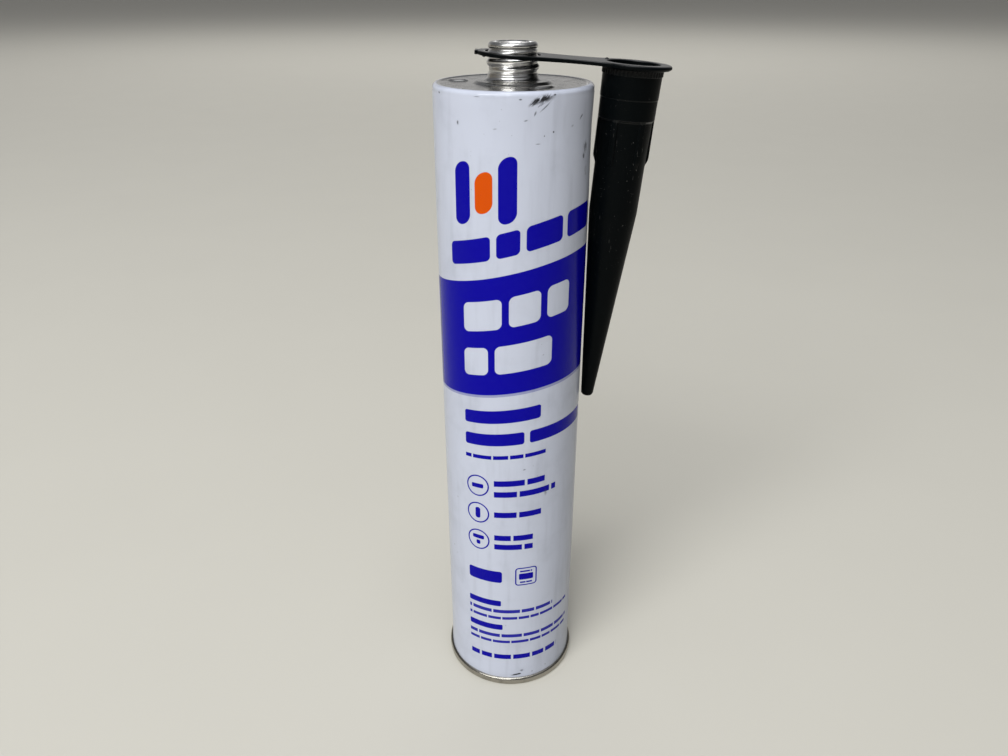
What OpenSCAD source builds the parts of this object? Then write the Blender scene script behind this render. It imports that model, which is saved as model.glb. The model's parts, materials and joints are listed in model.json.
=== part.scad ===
// Metal sealant cartridge with its screw-on nozzle stored at its side.
// The cartridge stands on its rolled end. The nozzle is one moulding: a hollow tapered spout with a
// flange at its mouth, a flat strap and an eye. The eye is slipped over the threaded neck, so the
// nozzle hangs upside down beside the wall and swings round the neck.
// Origin: centre of the rolled end, on the surface that the cartridge stands on. +Z is up the
// cartridge's axis, and +X points from the neck to the stored nozzle. Millimetres.

/* [Cartridge] */
// Outer diameter of the drawn wall
can_d = 47; // [40:0.5:60]
// Height of the shoulder's outer edge above the base
shoulder_h = 218.2; // [170:0.1:330]
// Radius of the corner between wall and shoulder
corner_r = 1.3; // [0.8:0.1:3]
// How far the wall's top flares beyond its diameter
flare_out = 0.12; // [0:0.01:0.3]
// How far the wall draws in below the flare
waist_in = 0.2; // [0:0.01:0.5]
// Length of wall below the shoulder over which the flare and the waist run
waist_len = 40; // [20:1:60]

/* [Rolled end] */
// Height of the rolled band
seam_h = 2.8; // [1.5:0.1:4]
// How far the band stands proud of the wall
seam_out = 1.1; // [0.2:0.05:1.5]
// Width of the band from its inside to its outside
seam_w = 1.9; // [1.4:0.1:3]
// Radius of the band's lower edges
seam_round = 0.55; // [0.3:0.05:0.7]
// Radius of the band's upper edge
seam_shoulder = 0.9; // [0.3:0.05:1]
// Height of the groove between the band and the wall
seam_groove_h = 0.45; // [0.3:0.05:1]
// How far the groove lies inside the wall
seam_groove_in = 0.05; // [0.02:0.01:0.3]
// Depth of the closed end below the band's foot
recess_depth = 4.2; // [3:0.1:10]
// Height of the ring stamped into the closed end
end_bead_h = 0.6; // [0.2:0.1:1.5]
// Width of the ring stamped into the closed end
end_bead_w = 5; // [3:0.5:8]
// Diameter of the ring stamped into the closed end
end_bead_d = 28; // [20:1:30]

/* [Shoulder] */
// Drop of the flat shoulder below its painted edge
shoulder_drop = 0.25; // [0:0.05:1]
// Width of the flat painted edge
edge_w = 0.4; // [0.2:0.05:1]
// Width of the slope inside the painted edge
shoulder_slope = 0.9; // [0.5:0.1:2]
// Width of the flat top of the step round the neck's foot
step_w = 1.55; // [0.8:0.05:4]
// Height of the raised step above the shoulder's edge
step_h = 0.5; // [0.2:0.05:1]
// Width of the slope round the raised step
step_slope = 1.7; // [1:0.1:3]

/* [Neck] */
// Height of the sealed top above the shoulder's edge
neck_h = 10.7; // [9:0.1:14]
// Outer diameter of the thread
thread_d = 15.2; // [12:0.1:17]
// Depth of the thread
thread_depth = 0.65; // [0.4:0.05:0.9]
// Rise of the thread in one turn
thread_pitch = 2.2; // [1.8:0.1:3]
// Height of the plain neck between its foot and the thread
plain_h = 1; // [0.6:0.1:2]
// Direction in which the thread begins, counted from the strap's side
thread_from = 196; // [0:1:359]
// Radius of the sweep from the neck's foot into the step
foot_r = 1.6; // [0.8:0.1:1.8]
// How far the plain neck widens from the thread's root down to the foot
foot_flare = 0.3; // [0:0.05:0.6]
// Height of the groove under the membrane's rim
seal_groove_h = 0.4; // [0.3:0.05:1]
// Depth of the groove under the membrane's rim
seal_groove_in = 0.2; // [0.05:0.05:0.4]
// How far the membrane's rim stands out of the thread's root
seal_lip = 0.15; // [0:0.05:0.5]
// Thickness of the membrane's rim
seal_t = 1.8; // [0.8:0.05:2]
// Width of the membrane's raised rim
seal_rim_w = 2.3; // [1.8:0.1:4]
// Depth of the flat centre below the membrane's rim
seal_dish = 0.18; // [0:0.02:0.4]

/* [Eye and strap] */
// Height of the strap's top above the shoulder's edge, on the neck's axis
strap_z = 7.8; // [6:0.1:8.4]
// Tilt of the whole moulding, nozzle side down
hang_tilt = 4.4; // [2:0.1:6]
// Thickness of the eye and the strap
strap_t = 1.1; // [0.8:0.1:2]
// Room between the thread and the eye's bore
eye_clearance = 0.4; // [0.35:0.05:1]
// Width of the band round the eye's bore
eye_band = 2.4; // [1.8:0.1:4]
// Width of the strap at its narrowest
strap_w = 13.5; // [8:0.5:16]
// How far the squared tab stands out of the eye
tab_out = 0.45; // [0.2:0.05:1.5]
// Width of the squared tab
tab_w = 5; // [3:0.5:8]
// Diameter of the small moulding nubs
nub_d = 1.2; // [0.8:0.1:2]
// Height of the small moulding nubs
nub_h = 0.4; // [0.2:0.1:0.8]
// Direction of the nub under the eye, counted from the strap's side
eye_nub_at = 209; // [150:1:210]
// Direction of the nub beside the mouth, counted from the mouth's far side
mouth_nub_at = 143; // [120:1:150]

/* [Nozzle] */
// Length of the nozzle, from the flange's top to the closed tip
nozzle_len = 108; // [80:1:150]
// Smallest gap between the hanging nozzle and the wall
hang_gap = 0.42; // [0.4:0.01:3]
// Diameter of the flange
flange_d = 22; // [20:0.5:30]
// Thickness of the flange
flange_t = 1.35; // [1:0.05:2]
// Width of the bevel from the flange to the collar
flange_fillet = 0.7; // [0.3:0.1:1]
// Room between the thread and the socket's bore
socket_clearance = 0.1; // [0.05:0.01:0.2]
// Depth of the threaded socket
socket_len = 12.5; // [9:0.5:14]
// Width of the bevel at the socket's mouth
mouth_bevel = 0.3; // [0.1:0.05:0.5]
// Wall of the collar round the socket
collar_wall = 0.9; // [0.8:0.05:2]
// Distance from the flange's top to the collar's fine step
collar_step_at = 9.4; // [6:0.1:13]
// Depth of the collar's fine step
collar_step = 0.1; // [0.05:0.01:0.2]
// Count of the serrations under the flange
serration_n = 48; // [24:1:60]
// Height of the serrations
serration_h = 1.7; // [1:0.1:4]
// Depth of the serrations
serration_depth = 0.12; // [0.1:0.02:0.4]
// Distance from the flange's top to the grip's upper end
grip_start = 15.1; // [15:0.1:20]
// Distance from the flange's top to the ends of the grip's ribs
grip_end = 26.2; // [22:0.1:36]
// Length of the bevel at the ribs' ends
rib_bevel = 2.6; // [1:0.1:4]
// Count of the ribs, an even number
rib_n = 6; // [4:2:8]
// Width of a rib
rib_w = 1.9; // [1:0.1:3]
// Draft of the collar's outside, the loss of radius over its length
collar_draft = 0.18; // [0:0.02:0.3]
// Depth of the grip's hollows where they begin, at the collar
hollow_depth = 0.5; // [0.1:0.05:0.6]
// Radius that the grip's hollows lose on their way down to the barrel
grip_taper = 0.3; // [0.3:0.05:1]
// Draft of the barrel, the loss of radius over its length
barrel_draft = 0.12; // [0:0.02:0.5]
// Distance from the flange's top to the end of the barrel
barrel_end = 43; // [40:0.5:60]
// Diameter of the spout just above its closed tip
tip_d = 4.2; // [3:0.1:8]
// Radius of the closed tip's edge
tip_round = 1.3; // [0.6:0.1:1.4]
// Thickness of the closed tip
tip_t = 1.6; // [1:0.1:3]
// Wall of the barrel and the spout
wall = 1.15; // [0.8:0.05:1.3]
// Wall of the spout just above its tip
tip_wall = 1; // [0.8:0.05:1.2]

/* [Hidden] */
$fn = 96;

// Segments in a quarter turn of a rounded edge
ROUND = 6;
// Steps along the wall's flare and waist
WAIST_STEPS = 14;
// Steps of the thread's ridge in one turn
THREAD_STEPS = 32;
// Steps along each curved side of the strap
STRAP_STEPS = 14;
// Overlap that joins shapes of one piece
BITE = 0.3;
// How far a cut runs past the surface that it opens
PAST = 1;
// Offset that keeps two surfaces of one piece from lying in each other
OFFSET = 0.02;

can_r = can_d / 2;
band_r = can_r + seam_out;
recess_r = band_r - seam_w;
flare_r = can_r + flare_out;

thread_r = thread_d / 2;
root_r = thread_r - thread_depth;
seal_r = root_r + seal_lip;
seal_groove_r = root_r - seal_groove_in;
foot_out_r = root_r + foot_flare + foot_r;
step_r = foot_out_r + step_w;
thread_start = step_h + foot_r + plain_h;
thread_end = neck_h - seal_t - seal_groove_h;

eye_r = thread_r + eye_clearance;
eye_out_r = eye_r + eye_band;
flange_r = flange_d / 2;

socket_r = thread_r + socket_clearance;
collar_r = socket_r + collar_wall;
grip_r = collar_r - collar_draft - collar_step;
rib_r = grip_r - OFFSET;
hollow_r = grip_r - hollow_depth;
barrel_r = hollow_r - grip_taper;
knee_r = barrel_r - barrel_draft;
tip_r = tip_d / 2;
bore_r = knee_r - wall;
bore_tip_r = tip_r - tip_wall;
rib_end = grip_end + rib_bevel;

// Distance along the strap, from the neck's axis to the nozzle's, that leaves hang_gap to the wall
// at every depth below the flange at which the nozzle's side turns
function reach_for(wall_r, depth, radius) =
    (wall_r + hang_gap + depth * sin(hang_tilt)) / cos(hang_tilt) + radius;
reach = max(reach_for(flare_r, flange_t, collar_r + serration_depth),
            reach_for(can_r, grip_end, grip_r),
            reach_for(can_r, barrel_end, knee_r),
            reach_for(can_r, nozzle_len - tip_round, tip_r));

// Points of an arc round [x, y], from angle a0 to angle a1
function arc(x, y, r, a0, a1, steps = ROUND) =
    [for (i = [0:steps]) let (a = a0 + (a1 - a0) * i / steps) [x + r * cos(a), y + r * sin(a)]];

// A smooth step from 0 to 1
function ease(t) = (1 - cos(180 * t)) / 2;

// Radius of the wall at a share of the way up the waist: in to the waist, then out to the flare
function waist_r(t) = t < 0.75
    ? can_r - waist_in * ease(t / 0.75)
    : can_r - waist_in + (waist_in + flare_out) * ease((t - 0.75) / 0.25);

// Outline of the cartridge, from the closed end's centre round its outside to the membrane
end_bead_r = end_bead_d / 2;
end_profile = [
    [0, recess_depth],
    for (t = [-1:0.125:1]) [end_bead_r + end_bead_w / 2 * t, recess_depth + end_bead_h * ease(1 - abs(t))],
    [recess_r, recess_depth]
];
band_profile = concat(
    arc(recess_r + seam_round, seam_round, seam_round, 180, 270),
    arc(band_r - seam_round, seam_round, seam_round, 270, 360),
    arc(band_r - seam_shoulder, seam_h - seam_shoulder, seam_shoulder, 0, 80),
    [[can_r - seam_groove_in, seam_h + OFFSET], [can_r - seam_groove_in, seam_h + seam_groove_h / 2],
     [can_r, seam_h + seam_groove_h]]
);
waist_z = shoulder_h - corner_r - waist_len;
wall_profile = concat(
    [for (i = [0:WAIST_STEPS]) let (t = i / WAIST_STEPS) [waist_r(t), waist_z + waist_len * t]],
    arc(flare_r - corner_r, shoulder_h - corner_r, corner_r, 15, 90)
);
shoulder_z = shoulder_h - shoulder_drop;
step_z = shoulder_h + step_h;
edge_in_r = flare_r - corner_r - edge_w;
shoulder_profile = [
    for (t = [0.125:0.125:1]) [edge_in_r - shoulder_slope * t, shoulder_h - shoulder_drop * ease(t)],
    for (t = [0:0.125:1]) [step_r + step_slope * (1 - t), shoulder_z + (step_z - shoulder_z) * ease(t)]
];
foot_profile = arc(foot_out_r, step_z + foot_r, foot_r, 270, 180);
seal_z = shoulder_h + neck_h;
seal_under = seal_z - seal_t;
seal_under_round = seal_t * 0.4;
seal_top_round = seal_t - seal_under_round;
neck_profile = concat(
    [[root_r, shoulder_h + thread_start - plain_h / 2], [root_r, seal_under - seal_groove_h],
     [seal_groove_r, seal_under - seal_groove_h / 2], [seal_groove_r, seal_under - OFFSET]],
    arc(seal_r - seal_under_round, seal_under + seal_under_round, seal_under_round, -80, 0),
    arc(seal_r - seal_top_round, seal_z - seal_top_round, seal_top_round, 20, 90),
    [[seal_r - seal_rim_w, seal_z], [seal_r - seal_rim_w - 2 * seal_dish, seal_z - seal_dish],
     [0, seal_z - seal_dish]]
);

// The thread's ridge: one flat-topped ridge swept up a right-hand helix, fading in at each end.
// A ring is a cut across the ridge: two points inside the neck, two on the crest.
thread_turns = (thread_end - thread_start) / thread_pitch;
thread_rings = ceil(thread_turns * THREAD_STEPS);
ridge_foot = thread_pitch * 0.4;
ridge_top = thread_pitch * 0.1;
ridge_fade = 8;
function ridge_rise(t) = min(1, ridge_fade * min(t, 1 - t));
function ridge_ring(t) =
    let (a = thread_from + 360 * thread_turns * t,
         z = shoulder_h + thread_start + thread_pitch * thread_turns * t,
         r = root_r - OFFSET + (thread_depth + OFFSET) * ridge_rise(t),
         inner = root_r - BITE)
    [for (p = [[inner, -ridge_foot], [r, -ridge_top], [r, ridge_top], [inner, ridge_foot]])
        [p[0] * cos(a), p[0] * sin(a), z + p[1]]];

module thread_ridge() {
    points = [for (i = [0:thread_rings]) each ridge_ring(i / thread_rings)];
    last = 4 * thread_rings;
    sides = [for (i = [0:thread_rings - 1], k = [0:3])
        [4 * i + k, 4 * i + (k + 1) % 4, 4 * i + 4 + (k + 1) % 4, 4 * i + 4 + k]];
    polyhedron(points, concat([[3, 2, 1, 0]], sides, [[last, last + 1, last + 2, last + 3]]), 8);
}

// The sealed cartridge: rolled end, wall, shoulder, threaded neck and membrane, full to the top
module cartridge() {
    color("lavender")
        rotate_extrude()
            polygon(concat(end_profile, band_profile, wall_profile, shoulder_profile, foot_profile,
                           neck_profile));
    color("silver") thread_ridge();
}

// Outline of the eye, the strap and the flange's plate: two discs joined by a strap whose sides are
// arcs that touch both discs and leave strap_w between them
plate_r = flange_r - flange_t * 0.6;
half_w = strap_w / 2;
eye_lobe = eye_out_r - half_w;
plate_lobe = plate_r - half_w;
// The side's radius solves sqrt(eye_lobe * (eye_out_r + half_w + 2 side_r))
// + sqrt(plate_lobe * (plate_r + half_w + 2 side_r)) = reach, the two stretches beside the waist
side_k = plate_lobe - eye_lobe;
side_m = reach * reach + plate_lobe * (plate_r + half_w) - eye_lobe * (eye_out_r + half_w);
side_b = 4 * reach * reach * plate_lobe - 2 * side_m * side_k;
side_c = side_m * side_m - 4 * reach * reach * plate_lobe * (plate_r + half_w);
side_r = side_c / (side_b + sqrt(side_b * side_b - 4 * side_k * side_k * side_c));
side_x = sqrt(eye_lobe * (eye_out_r + half_w + 2 * side_r));
side_y = half_w + side_r;
eye_touch = atan2(side_y, side_x);
plate_touch = atan2(side_y, side_x - reach);
side_arc = arc(side_x, side_y, side_r, plate_touch - 180, eye_touch - 180, STRAP_STEPS);
upper_side = concat(
    arc(reach, 0, plate_r, 0, plate_touch, STRAP_STEPS),
    [for (i = [1:STRAP_STEPS - 1]) side_arc[i]],
    arc(0, 0, eye_out_r, eye_touch, 180 - asin(tab_w / 2 / eye_out_r), 2 * STRAP_STEPS),
    [[-eye_out_r - tab_out, tab_w / 2]]
);
lower_side = [for (i = [len(upper_side) - 1:-1:1]) [upper_side[i][0], -upper_side[i][1]]];

module strap_plate() {
    translate([0, 0, -strap_t]) linear_extrude(strap_t) polygon(concat(upper_side, lower_side));
}

// Nubs left by the mould: one under the eye's far side, one on the strap beside the mouth
module mould_nubs() {
    rotate([0, 0, eye_nub_at])
        translate([eye_r + eye_band / 2, 0, -strap_t - nub_h]) cylinder(h = nub_h + BITE, d = nub_d);
    translate([reach, 0, 0]) rotate([0, 0, mouth_nub_at])
        translate([plate_r - nub_d, 0, -BITE]) cylinder(h = BITE + nub_h, d = nub_d);
}

// A revolved piece of the nozzle, from points given as [radius, distance below the flange's top]
module turned(points) {
    rotate_extrude() polygon([for (p = points) [p[0], -p[1]]]);
}

// The flange with its rounded rim, swept into the collar
module flange() {
    rim = flange_t / 2;
    turned(concat(
        [[0, 0]],
        arc(flange_r - rim, rim, rim, -90, 90),
        [[collar_r + flange_fillet, flange_t], [collar_r, flange_t + flange_fillet],
         [0, flange_t + flange_fillet]]));
}

// The spout's outside without its ribs: collar, hollowed grip, barrel, cone and closed tip
module spout() {
    turned(concat(
        [[0, BITE], [collar_r, BITE], [collar_r - collar_draft / 2, collar_step_at],
         [collar_r - collar_draft / 2 - collar_step, collar_step_at + collar_step],
         [grip_r, grip_start], [hollow_r, grip_start + hollow_depth], [barrel_r, rib_end],
         [knee_r, barrel_end]],
        arc(tip_r - tip_round, nozzle_len - tip_round, tip_round, 0, 90),
        [[0, nozzle_len]]));
}

// The ribs: flat webs across the spout, trimmed to the grip's radius and bevelled at their ends
module ribs() {
    rib_end_r = barrel_r - (rib_r - barrel_r) / rib_bevel * BITE;
    intersection() {
        turned([[0, grip_start - BITE], [rib_r, grip_start - BITE], [rib_r, grip_end],
                [rib_end_r, rib_end + BITE], [0, rib_end + BITE]]);
        for (i = [0:rib_n / 2 - 1]) rotate([0, 0, 360 / rib_n * i])
            translate([-collar_r, -rib_w / 2, -rib_end - PAST])
                cube([2 * collar_r, rib_w, rib_end - grip_start + PAST + BITE]);
    }
}

// Serrations round the collar's top
module serrations() {
    translate([0, 0, -flange_t - serration_h])
        linear_extrude(serration_h + flange_t / 2)
            polygon([for (i = [0:2 * serration_n - 1])
                let (a = 180 / serration_n * i, r = collar_r + (i % 2 == 0 ? serration_depth : OFFSET))
                [r * cos(a), r * sin(a)]]);
}

// The nozzle's inside: bevelled mouth, socket, seat and tapered bore, closed at the tip
module inside() {
    turned([[0, -PAST], [socket_r + mouth_bevel + PAST, -PAST], [socket_r, mouth_bevel],
            [socket_r, socket_len], [bore_r + barrel_draft, socket_len + socket_r - bore_r],
            [bore_r, barrel_end], [bore_tip_r, nozzle_len - tip_t - bore_tip_r / 2],
            [bore_tip_r / 2, nozzle_len - tip_t], [0, nozzle_len - tip_t]]);
}

// The nozzle with its strap and eye, in one piece, hung on the neck
module nozzle() {
    color("dimgray")
        translate([0, 0, shoulder_h + strap_z]) rotate([0, hang_tilt, 0])
            difference() {
                union() {
                    strap_plate();
                    mould_nubs();
                    translate([reach, 0, 0]) {
                        flange();
                        spout();
                        ribs();
                        serrations();
                    }
                }
                translate([0, 0, -strap_t - PAST]) cylinder(h = strap_t + 2 * PAST, r = eye_r);
                translate([reach, 0, 0]) inside();
            }
}

cartridge();
nozzle();
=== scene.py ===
"""Looks of a metal sealant cartridge with its nozzle stored at its side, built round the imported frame.

Sizes are in millimetres and angles in degrees, and a mesh is made in metres. The cartridge's axis is Z, its
rolled end stands on z = 0, the nozzle hangs on the +X side and the camera looks along +Y.
"""

import json
import logging
import math
from collections.abc import Mapping, Sequence
from dataclasses import dataclass
from enum import Enum
from typing import Any

import bpy
import numpy as np
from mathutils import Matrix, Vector


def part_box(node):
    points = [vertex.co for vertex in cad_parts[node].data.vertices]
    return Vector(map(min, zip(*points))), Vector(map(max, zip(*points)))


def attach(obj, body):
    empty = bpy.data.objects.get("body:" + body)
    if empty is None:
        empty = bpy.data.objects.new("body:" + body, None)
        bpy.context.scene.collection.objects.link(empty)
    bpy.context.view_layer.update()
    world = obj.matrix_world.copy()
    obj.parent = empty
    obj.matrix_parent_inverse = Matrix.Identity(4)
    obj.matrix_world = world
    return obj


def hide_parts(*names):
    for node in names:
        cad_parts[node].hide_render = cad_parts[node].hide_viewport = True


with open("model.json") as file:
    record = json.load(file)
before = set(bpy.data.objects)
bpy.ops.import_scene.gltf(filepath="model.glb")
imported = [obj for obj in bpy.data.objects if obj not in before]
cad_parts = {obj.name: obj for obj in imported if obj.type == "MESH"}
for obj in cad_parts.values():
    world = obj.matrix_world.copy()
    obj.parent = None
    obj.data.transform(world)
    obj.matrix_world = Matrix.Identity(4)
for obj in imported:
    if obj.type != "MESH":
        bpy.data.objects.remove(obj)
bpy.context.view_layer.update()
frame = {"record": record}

Array = np.ndarray
Colour = tuple[float, float, float]
LOG = logging.getLogger("cartridge")
MM = 0.001
SAME_PLACE = 1e-6
TURN = 2 * math.pi


class Slot(Enum):
    """The record's material slots."""

    CAN = "painted_can"
    NOZZLE = "black_plastic"


class Body(Enum):
    """The bodies of the frame that pieces ride on."""

    CARTRIDGE = "cartridge"
    NOZZLE = "nozzle"


def mount(name: str) -> dict[str, Any]:
    """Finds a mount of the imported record.

    Args:
        name: The mount's name.

    Returns:
        The mount's row.
    """
    return next(row for row in frame["record"]["mounts"] if row["name"] == name)


def smooth(low: float, high: float, value: Array) -> Array:
    """A smooth step from 0 at low to 1 at high: t * t * (3 - 2 t), with t the clipped share of the way.

    Args:
        low: Where the step begins.
        high: Where the step ends.
        value: Places on the line.

    Returns:
        The step's height at each place.
    """
    share = np.clip((value - low) / (high - low), 0, 1)
    return share * share * (3 - 2 * share)


def arc(centre: Sequence[float], radius: float, start: float, end: float, steps: int) -> Array:
    """Points of an arc: centre + radius * (cos a, sin a), with a from start to end.

    Args:
        centre: The arc's centre.
        radius: Its radius.
        start: Its first angle in degrees.
        end: Its last angle in degrees.
        steps: How many stretches it is cut into.

    Returns:
        One row for each point.
    """
    angle = np.radians(np.linspace(start, end, steps + 1))
    return np.stack([centre[0] + radius * np.cos(angle), centre[1] + radius * np.sin(angle)], -1)


def stretch(start: Sequence[float], end: Sequence[float], steps: int) -> Array:
    """Points of a straight stretch, both ends included.

    Args:
        start: The first point.
        end: The last point.
        steps: How many parts the stretch is cut into.

    Returns:
        One row for each point.
    """
    share = np.linspace(0, 1, steps + 1)[:, None]
    return (1 - share) * np.asarray(start, float) + share * np.asarray(end, float)


def path(*parts: Array) -> Array:
    """Joins stretches and arcs into one line, and drops points that lie on the one before.

    Args:
        *parts: The pieces of the line in order.

    Returns:
        The line's points.
    """
    points = np.vstack(parts)
    step = np.linalg.norm(np.diff(points, axis=0), axis=1)
    return points[np.concatenate([[True], step > SAME_PLACE])]


def revolve(line: Array, columns: int) -> tuple[Array, Array, Array]:
    """Spreads a side view over a grid that runs once round the axis.

    Args:
        line: Radius, and place along the axis, of each row.
        columns: How many columns the turn is cut into.

    Returns:
        The radius, the place along the axis and the angle at each point of the grid.
    """
    angle = np.linspace(0, TURN, columns, endpoint=False)[None, :] + np.zeros((len(line), 1))
    return line[:, :1] + 0 * angle, line[:, 1:] + 0 * angle, angle


def from_azimuth(angle: Array, azimuth: float) -> Array:
    """The angle past an azimuth in degrees, brought between minus and plus half a turn."""
    return (angle - math.radians(azimuth) + TURN / 2) % TURN - TURN / 2


def round_axis(radius: Array, z: Array, angle: Array) -> Array:
    """Points at (r sin a, -r cos a, z), with a from 0 at the camera's side."""
    return np.stack([radius * np.sin(angle), -radius * np.cos(angle), z], -1)


@dataclass
class Skin:
    """A closed surface on a grid of rows and columns, whose columns run round and meet.

    Attributes:
        name: The piece's name.
        points: Rows by columns by 3 coordinates, in millimetres.
        rows_meet: Whether the last row meets the first, as on a ring. Otherwise each end row is a pole.
    """

    name: str
    points: Array
    rows_meet: bool = False

    def build(self) -> bpy.types.Object:
        """Makes the mesh: four neighbours of the grid make a face, and a pole's faces have three corners.

        Returns:
            The new object, smooth shaded, at the origin.
        """
        rows, columns = self.points.shape[:2]
        index = np.arange(rows * columns).reshape(rows, columns)
        if self.rows_meet:
            index = np.vstack([index, index[:1]])
        else:
            index[0], index[-1] = index[0, 0], index[-1, 0]
        low, high = index[:-1], index[1:]
        quads = np.stack([low, np.roll(low, -1, 1), np.roll(high, -1, 1), high], -1).reshape(-1, 4)
        used = np.unique(quads)
        quads = np.searchsorted(used, quads)
        at_start, at_end = quads[:, 0] == quads[:, 1], quads[:, 2] == quads[:, 3]
        whole = quads[~(at_start | at_end)]
        fans = np.vstack([quads[at_start][:, 1:], quads[at_end][:, :3]])
        corners = np.concatenate([whole.ravel(), fans.ravel()])
        starts = np.concatenate([4 * np.arange(len(whole)), whole.size + 3 * np.arange(len(fans))])
        mesh = bpy.data.meshes.new(self.name)
        mesh.vertices.add(len(used))
        mesh.vertices.foreach_set("co", (self.points.reshape(-1, 3)[used] * MM).ravel())
        mesh.loops.add(len(corners))
        mesh.loops.foreach_set("vertex_index", corners)
        mesh.polygons.add(len(starts))
        mesh.polygons.foreach_set("loop_start", starts)
        mesh.update(calc_edges=True)
        mesh.shade_smooth()
        piece = bpy.data.objects.new(self.name, mesh)
        bpy.context.scene.collection.objects.link(piece)
        return piece


def dress(piece: bpy.types.Object, material: bpy.types.Material, body: Body, node: str) -> None:
    """Gives a piece its finish and its body, hides the node of the frame that it stands for, and reports it.

    Args:
        piece: The new piece.
        material: Its finish.
        body: The body that it rides on.
        node: The node of the frame that it stands for.
    """
    piece.data.materials.append(material)
    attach(piece, body.value)
    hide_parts(node)
    LOG.info("%s: %d faces on %s", piece.name, len(piece.data.polygons), body.value)


class Signal:
    """A shader socket with a number on it. Arithmetic on it adds Math nodes."""

    def __init__(self, finish: "Nodes", socket: Any) -> None:
        """Wraps a socket, or a plain number, for a material's nodes."""
        self.finish = finish
        self.socket = socket

    def maths(self, operation: str, *others: Any, clamp: bool = False) -> "Signal":
        """Adds a Math node on this signal.

        Args:
            operation: The node's operation.
            *others: Further inputs, signals or numbers.
            clamp: Whether the result is kept between 0 and 1.

        Returns:
            The node's result.
        """
        settings = {"operation": operation, "use_clamp": clamp}
        return self.finish.add("ShaderNodeMath", settings, dict(enumerate((self, *others))))

    def __add__(self, other: Any) -> "Signal":
        """Adds a signal or a number."""
        return self.maths("ADD", other)

    def __sub__(self, other: Any) -> "Signal":
        """Takes away a signal or a number."""
        return self.maths("SUBTRACT", other)

    def __rsub__(self, other: float) -> "Signal":
        """Takes this signal away from a number."""
        return Signal(self.finish, other).maths("SUBTRACT", self)

    def __mul__(self, other: Any) -> "Signal":
        """Multiplies with a signal or a number."""
        return self.maths("MULTIPLY", other)

    def __truediv__(self, other: Any) -> "Signal":
        """Divides by a signal or a number."""
        return self.maths("DIVIDE", other)

    __radd__ = __add__
    __rmul__ = __mul__

    def step(self, low: float, high: float) -> "Signal":
        """A smooth step from 0 at low to 1 at high. It falls where low is the larger."""
        return self.finish.add("ShaderNodeMapRange", {"interpolation_type": "SMOOTHSTEP"},
                               {"Value": self, "From Min": low, "From Max": high})

    def within(self, low: float, high: float, edge: float) -> "Signal":
        """1 between low and high, 0 outside, with a soft edge of the given width at both."""
        return self.step(low - edge, low + edge) * self.step(high + edge, high - edge)


class Nodes:
    """The nodes of one material or world: the one method that adds a node, and what finishes share.

    Attributes:
        MIX_BELOW: The Mix node's input for the colour below.
        MIX_ABOVE: Its input for the colour above.
        MIX_RESULT: Its output for colours.
    """

    MIX_BELOW = 6
    MIX_ABOVE = 7
    MIX_RESULT = 2

    def __init__(self, owner: bpy.types.Material | bpy.types.World) -> None:
        """Clears the nodes of a new material or world.

        Args:
            owner: The material or world.
        """
        self.owner = owner
        owner.use_nodes = True
        self.tree = owner.node_tree
        self.tree.nodes.clear()

    def add(self, kind: str, settings: Mapping[str, Any] | None = None,
            inputs: Mapping[str | int, Any] | None = None, output: str | int = 0) -> Signal:
        """Adds a node, sets it up and links it.

        Args:
            kind: The node's type.
            settings: Its properties, set first.
            inputs: A signal or a plain value for each input, by name or place.
            output: The output that is wanted.

        Returns:
            The output, or an empty signal where the node has none.
        """
        node = self.tree.nodes.new(kind)
        for key, value in (settings or {}).items():
            setattr(node, key, value)
        for key, value in (inputs or {}).items():
            self.join(value, node.inputs[key])
        return Signal(self, node.outputs[output] if len(node.outputs) else None)

    def join(self, value: Any, target: bpy.types.NodeSocket) -> None:
        """Links a signal to an input, or sets the input to a number, a colour or a vector.

        Args:
            value: The signal or the plain value.
            target: The input.
        """
        value = value.socket if isinstance(value, Signal) else value
        if isinstance(value, bpy.types.NodeSocket):
            self.tree.links.new(value, target)
        elif isinstance(value, tuple) and len(value) == 3 and target.type == "RGBA":
            target.default_value = (*value, 1)
        else:
            target.default_value = value

    def place(self) -> tuple[Signal, Signal, Signal, Signal]:
        """The place on the object.

        Returns:
            The vector in millimetres, and its X, Y and Z.
        """
        coordinate = self.add("ShaderNodeTexCoord", output="Object")
        vector = self.add("ShaderNodeVectorMath", {"operation": "SCALE"}, {0: coordinate, "Scale": 1 / MM})
        parts = [self.add("ShaderNodeSeparateXYZ", None, {0: vector}, axis) for axis in "XYZ"]
        return vector, *parts

    def blend(self, factor: Any, below: Any, above: Any) -> Signal:
        """The colour below, covered by the colour above where the factor is 1."""
        return self.add("ShaderNodeMix", {"data_type": "RGBA"},
                        {0: factor, self.MIX_BELOW: below, self.MIX_ABOVE: above}, self.MIX_RESULT)

    def bump(self, height: Signal, distance: float, strength: float = 1.0) -> Signal:
        """A normal from a height in parts of the given distance in millimetres."""
        return self.add("ShaderNodeBump", None,
                        {"Height": height, "Distance": distance * MM, "Strength": strength})

    def close(self, inputs: Mapping[str | int, Any]) -> bpy.types.Material:
        """Ends the material in one Principled surface.

        Args:
            inputs: A signal or a plain value for each of the surface's inputs that is set.

        Returns:
            The finished material.
        """
        surface = self.add("ShaderNodeBsdfPrincipled", None, inputs)
        self.add("ShaderNodeOutputMaterial", None, {"Surface": surface})
        return self.owner


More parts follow.
